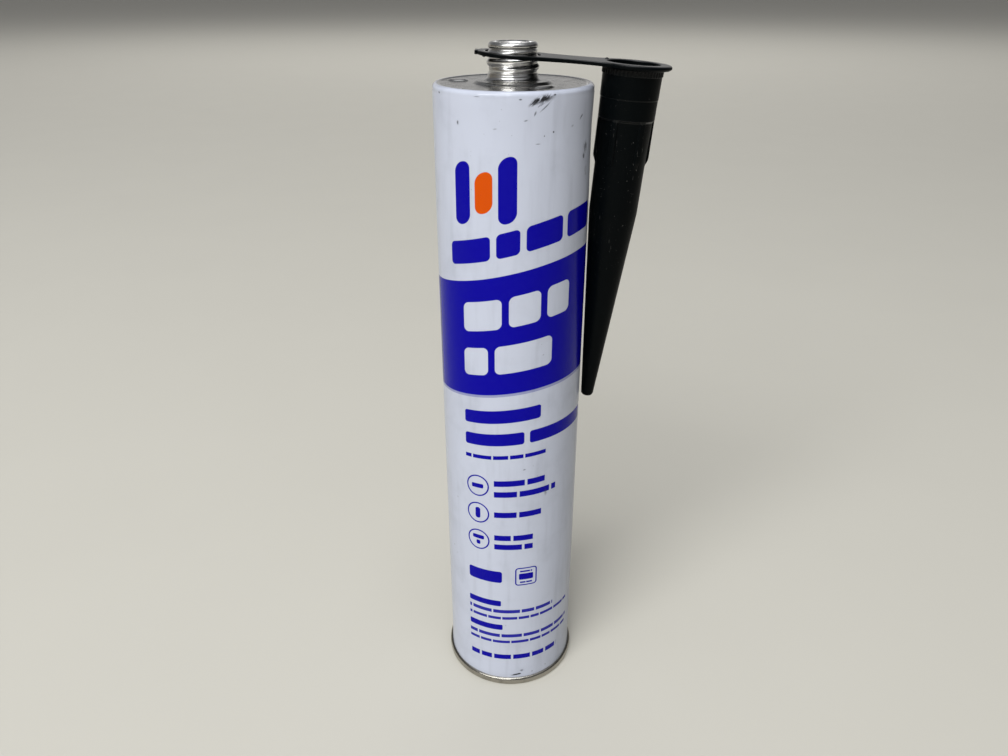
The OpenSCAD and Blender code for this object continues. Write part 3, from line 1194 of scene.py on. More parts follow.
    dents: tuple[Dent, ...] = (
        Dent(-88, 216.5, 0.28, 8.0, 4.5), Dent(-72, 212.5, 0.10, 5.0, 3.0), Dent(84, 201, 0.10, 6.0, 7.0),
        Dent(62, 208, 0.07, 3.0, 4.0), Dent(46, 203, 0.05, 2.6, 7.0), Dent(70, 195, 0.08, 3.0, 6.0),
        Dent(30, 190, 0.05, 5.0, 9.0), Dent(57, 150, 0.06, 4.0, 26.0), Dent(-40, 212, 0.05, 4.0, 3.0),
        Dent(14, 5.5, 0.08, 5.0, 1.6))
    stamps: tuple[Stamp, ...] = (Stamp(-106, 16.8, 0.48, 2.5, 3.5), Stamp(33, 15.2, 0.45, 4.4, 1.9))
    smudges: tuple[Smudge, ...] = (
        Smudge(20.6, 216.3, 4.3, 1.45, 12, 42, 1.9, 3.2, 0.47, 1.0),
        Smudge(14.2, 215.4, 2.3, 1.0, 28, 46, 1.9, 3.0, 0.46, 0.9),
        Smudge(21.0, 213.9, 3.4, 0.35, 42, 48, 3.0, 12.0, 0.50, 0.75),
        Smudge(14.9, 212.6, 0.4, 1.0, -20, 25, 3.0, 4.0, 0.42, 0.7),
        Smudge(18.0, 214.6, 2.4, 0.5, 30, 52, 3.2, 8.0, 0.55, 0.6),
        Smudge(28.5, 217.2, 0.55, 0.3, 15, 0, 2.0, 1.0, 0.2, 0.95),
        Smudge(-59.5, 216.7, 0.6, 0.4, -10, 0, 2.0, 1.0, 0.25, 0.95),
        Smudge(-23.8, 216.8, 1.3, 0.16, 0, 90, 2.0, 4.0, 0.3, 0.6),
        Smudge(-40.0, 209.6, 0.55, 0.85, 0, 20, 3.0, 1.5, 0.42, 0.8),
        Smudge(5.0, 216.3, 0.6, 0.28, 0, 60, 2.5, 2.0, 0.3, 0.9),
        Smudge(8.7, 210.9, 0.8, 0.3, 15, 60, 2.5, 2.0, 0.35, 0.6),
        Smudge(-11.7, 208.7, 0.8, 0.3, 10, 60, 2.5, 2.0, 0.4, 0.35),
        Smudge(28.5, 207.6, 0.38, 0.38, 0, 0, 1.0, 1.0, 0.1, 1.0),
        Smudge(21.7, 206.7, 0.26, 0.32, 0, 0, 1.0, 1.0, 0.1, 0.75),
        Smudge(17.3, 204.7, 1.0, 0.16, 0, 90, 1.5, 4.0, 0.25, 0.75),
        Smudge(54.8, 210.6, 1.4, 0.5, 40, 50, 2.5, 3.0, 0.42, 0.75),
        Smudge(45.0, 208.6, 0.8, 0.4, 20, 50, 2.5, 2.0, 0.45, 0.35),
        Smudge(63.5, 201.9, 2.0, 2.6, 0, 25, 1.2, 3.0, 0.50, 0.7),
        Smudge(61.0, 199.4, 1.0, 1.4, 0, 20, 1.8, 2.0, 0.48, 0.8),
        Smudge(66.0, 195.0, 1.4, 2.6, 0, 10, 1.4, 2.0, 0.52, 0.4),
        Smudge(30.5, 88.8, 0.9, 2.4, 0, 30, 1.6, 3.0, 0.48, 0.45),
        Smudge(5.5, 4.3, 2.4, 0.6, 8, 70, 2.4, 2.0, 0.36, 1.0),
        Smudge(11.5, 6.2, 1.2, 0.9, 20, 40, 2.2, 2.0, 0.48, 0.65),
        Smudge(21.5, 4.6, 0.4, 0.35, 0, 0, 1.5, 1.0, 0.2, 0.7),
        Smudge(9.0, 4.5, 0.9, 0.6, 0, 60, 2.4, 2.0, 0.36, 1.0))

    def __post_init__(self) -> None:
        """Works out the sizes that others follow from."""
        self.shoulder_z = self.top_z - self.neck_h
        self.flare_r = self.wall_r + self.flare_out
        self.edge_in_r = self.flare_r - self.corner_r - self.edge_w

    def wall_line(self) -> Array:
        """The wall's side view: straight, then a waist and a flare as smooth steps, then the rounded corner.

        Returns:
            Radius and height of each row, upwards.
        """
        straight_rows, waist_rows, corner_rows = 84, 20, 10
        waist_z = self.shoulder_z - self.corner_r - self.waist_len
        straight = stretch((self.wall_r, self.seam_h + self.seam_lap), (self.wall_r, waist_z), straight_rows)
        flare_end, flare_full = (self.seam_h + span for span in self.flare_span)
        straight[:, 0] += self.foot_flare * smooth(flare_end, flare_full, straight[:, 1])
        up = np.linspace(0, 1, waist_rows + 1)[1:]
        inwards = self.waist_in * smooth(0, self.waist_share, up)
        outwards = (self.waist_in + self.flare_out) * smooth(self.waist_share, 1, up)
        waist = np.stack([self.wall_r - inwards + outwards, waist_z + self.waist_len * up], -1)
        centre = (self.flare_r - self.corner_r, self.shoulder_z - self.corner_r)
        return path(straight, waist, arc(centre, self.corner_r, self.corner_from, 90, corner_rows))

    def shoulder_line(self) -> Array:
        """The shoulder's side view: painted edge, slope, flat with its stamped ovals, and the step's slope.

        Returns:
            Radius and height of each row, inwards. Both slopes are smooth steps.
        """
        slope_rows, flat_rows = 8, 24
        floor_z, step_z = self.shoulder_z - self.shoulder_drop, self.shoulder_z + self.step_h
        share = np.linspace(0, 1, slope_rows + 1)
        slope = np.stack([self.edge_in_r - self.slope_w * share,
                          self.shoulder_z - self.shoulder_drop * smooth(0, 1, share)], -1)
        rise = np.stack([self.step_r + self.step_slope * (1 - share),
                         floor_z + (step_z - floor_z) * smooth(0, 1, share)], -1)
        return path(slope, stretch(slope[-1], rise[0], flat_rows), rise)

    def neck_line(self) -> Array:
        """The neck's side view: the foot's sweep, the neck at its thread's root, the groove, and the seal.

        Returns:
            Radius and height of each row, upwards and then inwards over the seal.
        """
        foot_rows, neck_rows, low_rows, high_rows, seal_rows = 10, 56, 6, 8, 3
        z, top = self.shoulder_z, self.top_z
        under, low_round = top - self.seal_t, self.seal_t * self.seal_low
        high_round = self.seal_t - low_round
        low_from, high_from = self.seal_arcs
        foot = arc((self.foot_out_r, z + self.step_h + self.foot_r), self.foot_r, 270, 180, foot_rows)
        groove = under - self.groove_h
        neck = stretch((self.root_r, z + self.neck_from), (self.root_r, groove), neck_rows)
        bend_in, bend_up = self.groove_bend
        inner = np.array([[self.root_r - self.groove_in * bend_in, groove + self.groove_h * bend_up],
                          [self.root_r - self.groove_in, groove + self.groove_h * self.groove_full],
                          [self.root_r - self.groove_in, under]])
        rim_in, flat_z = self.seal_r - self.seal_rim_w, top - self.seal_dish
        return path(foot, neck, inner,
                    arc((self.seal_r - low_round, under + low_round), low_round, low_from, 0, low_rows),
                    arc((self.seal_r - high_round, top - high_round), high_round, high_from, 90, high_rows),
                    stretch((rim_in, top), (rim_in - 2 * self.seal_dish, flat_z), seal_rows),
                    stretch((rim_in - self.seal_dish_w, flat_z), (0, flat_z), seal_rows))

    def thread(self, z: Array, angle: Array) -> Array:
        """Height of the thread's ridge: a flat-topped bump of the distance, along the axis, to the helix.

        The helix climbs one pitch in a turn from thread_from. The ridge fades in and out over a share of
        its whole climb.

        Args:
            z: Height of each point.
            angle: Angle of each point.

        Returns:
            The ridge's height over the root.
        """
        from_x = angle - TURN / 4
        turned = (from_x - math.radians(self.thread_from)) / TURN % 1
        climb = z - self.shoulder_z - self.thread_low
        lap = np.round(climb / self.pitch - turned)
        along = (lap + turned) * self.pitch
        length = self.thread_high - self.thread_low
        fade_in, fade_out = length * self.thread_fade, length * (1 - self.thread_fade)
        fade = smooth(0, fade_in, along) * smooth(length, fade_out, along)
        off = np.abs(climb - along) / self.pitch
        ridge = 1 - smooth(self.ridge_flat, self.ridge_foot, off)
        return (self.thread_r - self.root_r) * ridge * fade

    def sunk(self, z: Array, angle: Array) -> Array:
        """How far the wall lies inside its side view: its dents and a slight unevenness of drawn sheet.

        Args:
            z: Height of each point.
            angle: Angle of each point.

        Returns:
            The depth at each point.
        """
        depth = sum(ripple.at(angle, z) for ripple in self.wall_ripples)
        for dent in self.dents:
            off = from_azimuth(angle, dent.azimuth)
            depth = depth + dent.depth * np.exp(-(off * self.wall_r / dent.across) ** 2
                                                - ((z - dent.height) / dent.along) ** 2)
        return depth

    def raised(self, radius: Array, angle: Array) -> Array:
        """Height of the shoulder's stamped ovals and of its slight unevenness.

        Args:
            radius: Distance of each point from the axis.
            angle: Angle of each point.

        Returns:
            The height over the shoulder.
        """
        height = sum(ripple.at(angle, radius) for ripple in self.shoulder_ripples)
        for stamp in self.stamps:
            across = from_azimuth(angle, stamp.azimuth) * stamp.radius / stamp.round_half
            along = (radius - stamp.radius) / stamp.radial_half
            height = height + stamp.rise * (1 - smooth(self.stamp_flat, 1.0, np.hypot(across, along)))
        return height

    def can(self) -> Skin:
        """The drawn can in one skin, from the inside of its foot over wall, shoulder and neck to the seal.

        The wall's dents move its points inwards, the thread moves the neck's outwards, and the ovals lift
        the shoulder's.

        Returns:
            The piece's skin.
        """
        inside_r, inside_z = self.recess_r + self.inner_gap, self.recess_depth + self.inner_h
        foot = np.array([[0, inside_z], [inside_r, inside_z],
                         [inside_r, self.foot_z], [self.wall_r, self.foot_z]])
        line = path(foot, self.wall_line(), self.shoulder_line(), self.neck_line())
        radius, z, angle = revolve(line, self.columns)
        fade_up, fade_out = self.dent_fade
        on_wall = (smooth(self.seam_h, self.seam_h + fade_up, z)
                   * smooth(self.edge_in_r, self.edge_in_r + fade_out, radius))
        from_sweep, from_step, from_edge = self.stamp_span
        on_shoulder = (smooth(self.foot_out_r - from_sweep, self.step_r + from_step, radius)
                       * smooth(self.edge_in_r, self.edge_in_r - from_edge, radius)
                       * (z > self.shoulder_z - self.corner_r))
        on_neck = (np.abs(radius - self.root_r) < self.root_near) & (z > self.shoulder_z + self.neck_clear)
        radius = radius - self.sunk(z, angle) * on_wall + np.where(on_neck, self.thread(z, angle), 0)
        z = z + self.raised(radius, angle) * on_shoulder
        return Skin("drawn_can", round_axis(radius, z, angle))

    def rolled_end(self) -> Skin:
        """The rolled end in one skin: sunk panel with its ring, recess wall, rounded seam, and inside.

        Returns:
            The piece's skin.
        """
        bead_rows, corner_rows, low_rows, high_rows = 16, 5, 8, 10
        share = np.linspace(-1, 1, bead_rows + 1)
        ring = np.stack([self.end_bead_r + self.end_bead_w / 2 * share,
                         self.recess_depth + self.end_bead_h * smooth(0, 1, 1 - np.abs(share))], -1)
        r, top, out, inn = self.seam_round, self.seam_shoulder, self.band_r, self.recess_r
        inside, panel_top = self.wall_r - self.seam_in, self.recess_depth + self.panel_t
        bend = self.recess_round
        line = path(np.array([[0, self.recess_depth]]), ring,
                    arc((inn - bend, self.recess_depth - bend), bend, 90, 0, corner_rows),
                    arc((inn + r, r), r, 180, 270, low_rows), arc((out - r, r), r, 270, 360, low_rows),
                    arc((out - top, self.seam_h - top), top, 0, 90, high_rows),
                    np.array([[inside, self.seam_h], [inside, panel_top], [0, panel_top]]))
        radius, z, angle = revolve(line, self.columns)
        first, second, third = (ripple.at(angle, z) for ripple in self.band_ripples)
        on_band = smooth(self.wall_r, self.band_r, radius) * smooth(*self.ding_rise, z)
        radius = radius - np.abs((first * second + third) * on_band)
        return Skin("rolled_end", round_axis(radius, z, angle))

    def build(self) -> None:
        """Makes the can in its paint and the rolled end in bare tin plate, and dresses them."""
        finish = CanFinish(self.wall_r, self.shoulder_z, self.edge_in_r + self.paint_lap, self.seam_h)
        pieces = ((self.can(), finish.material("can_paint", self.smudges)),
                  (self.rolled_end(), self.tin.material("tin_plate")))
        for skin, material in pieces:
            dress(skin.build(), material, Body.CARTRIDGE, "cartridge")


@dataclass
class Nozzle:
    """The stored nozzle: a ribbed hollow spout with a flange, and a flat strap with an eye.

    Depths are measured down the spout's axis from the flange's top.

    Attributes:
        socket_r: Radius of the socket's bore.
        columns: Columns of the spout's mesh round its axis.
        tilt: How far the moulding hangs tilted, in degrees.
        pivot_z: Height of the strap's top at the neck's axis.
        reach: Distance of the spout's axis from the neck's.
        length: Depth of the spout's tip.
        flange_r: Radius of the flange.
        flange_t: Thickness of the flange.
        fillet: Radius of the fillet under the flange.
        collar_r: Radius of the collar at its teeth.
        draft: How far the collar draws in towards the grip.
        step_at: Depth of the step in the collar.
        step: How far the collar steps in there.
        grip_start: Depth where the hollowed grip begins.
        grip_end: Depth where the ribs begin to slope off.
        bevel: Length of that slope.
        hollow: How far the grip is hollowed between its ribs.
        taper: How far the hollowed grip draws in.
        barrel_draft: How far the barrel draws in under the ribs.
        barrel_end: Depth of the knee, where the long taper begins.
        tip_r: Radius of the tip.
        tip_round: Radius of the tip's rounded edge.
        tip_t: Thickness of the closed tip.
        wall: Thickness of the wall at the knee.
        tip_wall: Thickness of the wall at the tip.
        socket_len: Depth of the socket.
        mouth_round: Radius of the mouth's rounded edge.
        seat_step: How far the bore's start is wider than its knee.
        rim_rows: Rows of the flange's rounded rim.
        ribs: How many ribs the grip has.
        rib_w: Width of a rib.
        rib_flank: Half the width over which a rib's flank rises.
        rib_reach: How far the ribs' rows go on before the grip and past the slope.
        teeth: How many teeth the collar has.
        tooth_h: Height of the toothed band under the flange.
        tooth_depth: Depth of a tooth.
        tooth_fade: Height over which the teeth fade out below.
        tooth_rise: Distances under the flange between which they rise.
        thread_at: Depth of the socket's thread at angle 0.
        thread_pitch: Pitch of the socket's thread.
        thread_h: Height of the socket's thread.
        thread_flank: Levels of its wave between which a flank rises.
        thread_span: Depths between which it fades in.
        thread_clear: How far over the socket's end it stops.
        strap_t: Thickness of the strap.
        eye_r: Radius of the eye's hole.
        eye_out_r: Radius of the eye outside.
        strap_half: Half the strap's width where it is narrowest.
        plate_r: Radius of the circle round the mouth that the strap's sides touch.
        mouth_ring_r: Radius on which the strap's outline turns back, inside the flange.
        mouth_ring_gap: Angle from the end of the sides to that ring's first point, in degrees.
        tab_out: How far the squared tab stands out of the eye.
        tab_half: Half the width of the tab.
        edge_round: Radius of the strap's rounded edges.
        strap_drop: How far the strap's top lies under the flange's.
        nub_r: Radius of a nub's ball.
        nub_base: How far under the ball's middle a nub ends, inside the plastic.
        nub_h: Height of a nub.
        eye_nub_at: Direction of the nub under the eye from the neck's axis, in degrees.
        mouth_nub_at: Direction of the nub beside the mouth from the spout's axis, in degrees.
    """

    socket_r: float = mount("nozzle_socket")["dims"]["r_mm"]
    columns: int = 384
    tilt: float = 4.4
    pivot_z: float = frame["record"]["behaviour"]["joints"][0]["pos_m"][2] / MM
    reach: float = 34.6994
    length: float = 108.0
    flange_r: float = 11.0
    flange_t: float = 1.35
    fillet: float = 0.7
    collar_r: float = 8.6
    draft: float = 0.18
    step_at: float = 9.4
    step: float = 0.1
    grip_start: float = 15.1
    grip_end: float = 26.2
    bevel: float = 2.6
    hollow: float = 0.5
    taper: float = 0.3
    barrel_draft: float = 0.12
    barrel_end: float = 43.0
    tip_r: float = 2.1
    tip_round: float = 1.3
    tip_t: float = 1.6
    wall: float = 1.15
    tip_wall: float = 1.0
    socket_len: float = 12.5
    mouth_round: float = 0.3
    seat_step: float = 0.12
    rim_rows: int = 14
    ribs: int = 6
    rib_w: float = 1.9
    rib_flank: float = 0.07
    rib_reach: tuple[float, float] = (0.02, 0.1)
    teeth: int = 48
    tooth_h: float = 1.7
    tooth_depth: float = 0.24
    tooth_fade: float = 0.16
    tooth_rise: tuple[float, float] = (0.2, 0.6)
    thread_at: float = 1.2
    thread_pitch: float = 2.2
    thread_h: float = 0.5
    thread_flank: tuple[float, float] = (0.62, 0.95)
    thread_span: tuple[float, float] = (0.8, 1.8)
    thread_clear: float = 0.3
    strap_t: float = 1.1
    eye_r: float = 8.0
    eye_out_r: float = 10.4
    strap_half: float = 6.75
    plate_r: float = 10.19
    mouth_ring_r: float = 9.6
    mouth_ring_gap: float = 1.5
    tab_out: float = 0.45
    tab_half: float = 2.5
    edge_round: float = 0.28
    strap_drop: float = 0.02
    nub_r: float = 0.6
    nub_base: float = 0.3
    nub_h: float = 0.4
    eye_nub_at: float = 209.0
    mouth_nub_at: float = 143.0

    def __post_init__(self) -> None:
        """Works out the sizes that others follow from."""
        self.grip_r = self.collar_r - self.draft - self.step
        self.hollow_r = self.grip_r - self.hollow
        self.barrel_r = self.hollow_r - self.taper
        self.knee_r = self.barrel_r - self.barrel_draft
        self.rib_end = self.grip_end + self.bevel

    def hang(self, points: Array, off: float) -> Array:
        """Puts points of the moulding where it hangs: turned by the tilt about Y, on the strap's height.

        Args:
            points: Points with the flange's top at z = 0 and the piece's own axis on z.
            off: Distance of that axis from the neck's axis, along the strap.

        Returns:
            The points in the frame.
        """
        turn = math.radians(self.tilt)
        x, y, z = points[..., 0] + off, points[..., 1], points[..., 2]
        return np.stack([x * math.cos(turn) + z * math.sin(turn), y,
                         self.pivot_z - x * math.sin(turn) + z * math.cos(turn)], -1)

    def outside_line(self) -> Array:
        """The spout's outer side view, from the tip's centre up to the flange's top.

        Returns:
            Radius and depth of each row. A pair of rows stands close together at each sharp edge.
        """
        tip_rows, taper_rows, barrel_rows, grip_rows, hollow_rows = 8, 34, 12, 26, 8
        below_rows, step_rows, above_rows, tooth_rows, fillet_rows = 8, 3, 8, 10, 8
        # Distances of rows from an edge beside them: before the grip and the step, then below the step and
        # on its face, then below the teeth, at their start, and from the flange to their end.
        near, step_low, step_face = 0.05, 0.12, 0.1
        teeth_low, teeth_start, teeth_end = 0.3, 0.15, 1.1
        above_r, rim = self.collar_r - self.draft / 2, self.flange_t / 2
        below_r, teeth_z = above_r - self.step, self.flange_t + self.tooth_h
        tip_z, hollow_z = self.length - self.tip_round, self.grip_start + self.hollow
        return path(
            np.array([[0, self.length]]),
            arc((self.tip_r - self.tip_round, tip_z), self.tip_round, 90, 0, tip_rows),
            stretch((self.tip_r, tip_z), (self.knee_r, self.barrel_end), taper_rows)[1:-1],
            stretch((self.knee_r, self.barrel_end), (self.barrel_r, self.rib_end), barrel_rows),
            stretch((self.barrel_r, self.rib_end), (self.hollow_r, hollow_z), grip_rows),
            stretch((self.hollow_r, hollow_z), (self.grip_r, self.grip_start), hollow_rows),
            stretch((self.grip_r, self.grip_start - near), (below_r, self.step_at + step_low), below_rows),
            stretch((below_r, self.step_at + step_face), (above_r, self.step_at), step_rows),
            stretch((above_r, self.step_at - near), (self.collar_r, teeth_z + teeth_low), above_rows),
            stretch((self.collar_r, teeth_z + teeth_start), (self.collar_r, self.flange_t + teeth_end),
                    tooth_rows),
            arc((self.collar_r + self.fillet, self.flange_t + self.fillet), self.fillet, 180, 270,
                fillet_rows),
            arc((self.flange_r - rim, rim), rim, 90, -90, self.rim_rows))

    def inside_line(self) -> Array:
        """The spout's inner side view, from the mouth down to the bore's blind end.

        Returns:
            Radius and depth of each row.
        """
        mouth_rows, socket_rows, barrel_rows, bore_rows = 4, 38, 4, 6
        edge, bore_r, tip_bore = self.mouth_round, self.knee_r - self.wall, self.tip_r - self.tip_wall
        seat_z, end = self.socket_len + self.socket_r - bore_r, self.length - self.tip_t
        return path(
            arc((self.socket_r + edge, edge), edge, 270, 180, mouth_rows),
            stretch((self.socket_r, 2 * edge), (self.socket_r, self.socket_len), socket_rows),
            stretch((bore_r + self.seat_step, seat_z), (bore_r, self.barrel_end), barrel_rows),
            stretch((bore_r, self.barrel_end), (tip_bore, end - tip_bore / 2), bore_rows),
            np.array([[tip_bore / 2, end], [0, end]]))

    def ribbed(self, radius: Array, depth: Array, angle: Array) -> Array:
        """The outside's radius with its ribs: slabs of equal width, cut off at the grip's radius.

        Args:
            radius: Radius of each point without ribs.
            depth: Its depth below the flange.
            angle: Its angle.

        Returns:
            The radius with the ribs.
        """
        pitch = TURN / self.ribs
        off = np.abs((angle + pitch / 2) % pitch - pitch / 2)
        inside = smooth(self.rib_flank, -self.rib_flank, self.grip_r * np.sin(off) - self.rib_w / 2)
        sloped = smooth(0, 1, (depth - self.grip_end) / self.bevel)
        crest = self.grip_r - (self.grip_r - self.barrel_r) * sloped
        before, past = self.rib_reach
        here = (depth > self.grip_start - before) & (depth < self.rib_end + past)
        return np.where(here, radius + np.maximum(crest - radius, 0) * inside, radius)

    def toothed(self, depth: Array, angle: Array) -> Array:
        """The fine teeth under the flange: a triangle wave round the collar, cut off at both ends.

        Args:
            depth: Depth of each point below the flange.
            angle: Its angle.

        Returns:
            How far each point stands out.
        """
        wave = np.abs((angle * self.teeth / TURN) % 1 - 0.5) * 2
        low = self.flange_t + self.tooth_h
        rise_from, rise_to = (self.flange_t + rise for rise in self.tooth_rise)
        here = smooth(low + self.tooth_fade, low, depth) * smooth(rise_from, rise_to, depth)
        return self.tooth_depth * wave * here

    def spout(self) -> Skin:
        """The spout in one skin: outside with ribs and teeth, flange, and the threaded socket and bore.

        The socket's thread is a wave, (cos(2 pi (depth / pitch - turn)) + 1) / 2, with its flanks steepened.

        Returns:
            The piece's skin.
        """
        outer, inner = self.outside_line(), self.inside_line()
        line = path(outer, inner)
        radius, depth, angle = revolve(line, self.columns)
        outside = (np.arange(len(line)) < len(outer) - self.rim_rows)[:, None]
        turns = (depth - self.thread_at) / self.thread_pitch - angle / TURN
        ridge = smooth(*self.thread_flank, (np.cos(TURN * turns) + 1) / 2)
        thread_from, thread_full = self.thread_span
        threaded = ~outside & (depth > thread_from) & (depth < self.socket_len - self.thread_clear)
        thread = self.thread_h * ridge * smooth(thread_from, thread_full, depth)
        radius = np.where(outside, self.ribbed(radius, depth, angle) + self.toothed(depth, angle), radius)
        radius = np.where(threaded, radius - thread, radius)
        points = np.stack([radius * np.cos(angle), radius * np.sin(angle), -depth], -1)
        return Skin("nozzle_spout", self.hang(points, self.reach))

    def strap_outline(self) -> Array:
        """Half the strap's outline, from the tab round the eye and along the side to the flange.

        Each side is an arc that touches the eye's and the flange's circles and leaves the strap's width. Its
        radius solves sqrt(a (A + w + 2 R)) + sqrt(b (B + w + 2 R)) = reach, with A and B the circles' radii,
        w half the width, a = A - w and b = B - w. It is found by halving the range that it lies in. The
        outline then turns back round the mouth, inside the flange.

        Returns:
            Points of the half with y above 0, from the tab's middle to the strap's middle.
        """
        tab_rows, eye_rows, side_rows, mouth_rows = 6, 44, 40, 14
        w, a, b = self.strap_half, self.eye_out_r - self.strap_half, self.plate_r - self.strap_half
        low, high, halvings = 1.0, 400.0, 60
        for _ in range(halvings):
            side_r = (low + high) / 2
            side_x = math.sqrt(a * (self.eye_out_r + w + 2 * side_r))
            total = side_x + math.sqrt(b * (self.plate_r + w + 2 * side_r))
            low, high = (low, side_r) if total > self.reach else (side_r, high)
        side_y = w + side_r
        eye_touch = math.degrees(math.atan2(side_y, side_x))
        plate_touch = math.degrees(math.atan2(side_y, side_x - self.reach))
        tab = math.degrees(math.asin(self.tab_half / self.eye_out_r))
        tab_x = -self.eye_out_r - self.tab_out
        return path(
            stretch((tab_x, 0), (tab_x, self.tab_half), tab_rows),
            arc((0, 0), self.eye_out_r, 180 - tab, eye_touch, eye_rows),
            arc((side_x, side_y), side_r, eye_touch - 180, plate_touch - 180, side_rows),
            arc((self.reach, 0), self.mouth_ring_r, plate_touch + self.mouth_ring_gap, 180, mouth_rows))

    def strap(self) -> Skin:
        """The strap and eye in one skin: a flat section with rounded edges carried round the eye.

        A column runs straight out from the eye's bore to the outline. The rows go over the top, down the
        outline's edge, back under the strap and up the bore.

        Returns:
            The piece's skin.
        """
        edge_points, flat_shares = 5, np.linspace(0.12, 0.88, 7)
        half = self.strap_outline()
        outline = np.vstack([half, half[-2:0:-1] * (1, -1)])[::-1]
        ahead, behind = np.roll(outline, -1, 0), np.roll(outline, 1, 0)
        along = ahead - behind
        normal = np.stack([along[:, 1], -along[:, 0]], -1) / np.linalg.norm(along, axis=1)[:, None]
        direction = outline / np.linalg.norm(outline, axis=1)[:, None]
        if np.sum(normal * direction) < 0:
            normal = -normal
        bore = direction * self.eye_r
        quarter = np.radians(np.linspace(0, 90, edge_points))
        r, t = self.edge_round, self.strap_t
        inset, sink = r * (1 - np.sin(quarter)), r * (1 - np.cos(quarter))
        rows = [(bore + direction * i, -s) for i, s in zip(inset[::-1], sink[::-1])]
        start, end = bore + direction * r, outline - normal * r
        rows += [(start * (1 - k) + end * k, 0.0) for k in flat_shares]
        rows += [(outline - normal * i, -s) for i, s in zip(inset, sink)]
        rows += [(outline - normal * i, s - t) for i, s in zip(inset[::-1], sink[::-1])]
        rows += [(start * (1 - k) + end * k, -t) for k in flat_shares[::-1]]
        rows += [(bore + direction * i, s - t) for i, s in zip(inset, sink)]
        flats = np.stack([flat for flat, _ in rows])
        heights = np.array([z - self.strap_drop for _, z in rows])[:, None, None]
        points = np.concatenate([flats, heights + np.zeros_like(flats[..., :1])], -1)
        return Skin("strap_and_eye", self.hang(points[:, ::-1], 0.0), rows_meet=True)

    def nub(self, name: str, x: float, y: float, z: float, facing: int) -> Skin:
        """A small round nub left by the mould: a ball that is cut off under its middle.

        Args:
            name: The piece's name.
            x: Its place along the strap from the neck's axis.
            y: Its place across the strap.
            z: Height of its tip.
            facing: 1 for a nub that stands up, -1 for one that hangs down.

        Returns:
            The piece's skin.
        """
        rows, columns = 8, 24
        base_angle = -math.degrees(math.asin(self.nub_base / self.nub_r))
        line = path(np.array([[0, -self.nub_r - self.nub_base]]),
                    arc((0, -self.nub_r), self.nub_r, base_angle, 90, rows))
        radius, height, angle = revolve(line, columns)
        angle = facing * angle
        points = np.stack([x + radius * np.cos(angle), y + radius * np.sin(angle), z + facing * height], -1)
        return Skin(name, self.hang(points, 0.0))

    def build(self) -> None:
        """Makes the moulding's pieces and dresses them in one finish."""
        finish = PlasticFinish(top_z=self.pivot_z, tilt=self.tilt).material("nozzle_plastic")
        eye_at, mouth_at = math.radians(self.eye_nub_at), math.radians(self.mouth_nub_at)
        eye_mid = (self.eye_r + self.eye_out_r) / 2
        beside = self.plate_r - 2 * self.nub_r
        nubs = (self.nub("nub_under_eye", eye_mid * math.cos(eye_at), eye_mid * math.sin(eye_at),
                         -self.strap_t - self.nub_h, -1),
                self.nub("nub_beside_mouth", self.reach + beside * math.cos(mouth_at),
                         beside * math.sin(mouth_at), self.nub_h, 1))
        for skin in (self.spout(), self.strap(), *nubs):
            dress(skin.build(), finish, Body.NOZZLE, "nozzle")


@dataclass(frozen=True)
class SoftBox:
    """A soft studio light.

    Attributes:
        name: Its name.
        place: Where it stands, in metres.
        aim: The point that it faces, in metres.
        size: Its width and height in metres.
        power: Its power in watts.
        colour: Its colour.
        mirrored: Whether bright surfaces show its image.
    """

    name: str
    place: tuple[float, float, float]
    aim: tuple[float, float, float]
    size: tuple[float, float]
    power: float
    colour: Colour = (1.0, 1.0, 1.0)
    mirrored: bool = True

    def build(self) -> None:
        """Makes the light. The camera doesn't see it."""
        data = bpy.data.lights.new(self.name, "AREA")
        data.shape, data.size, data.size_y = "RECTANGLE", *self.size
        data.energy, data.color = self.power, self.colour
        light = bpy.data.objects.new(self.name, data)
        bpy.context.scene.collection.objects.link(light)
        light.location = self.place
        light.rotation_euler = (Vector(self.aim) - Vector(self.place)).to_track_quat("-Z", "Y").to_euler()
        light.visible_camera = False
        light.visible_glossy = self.mirrored


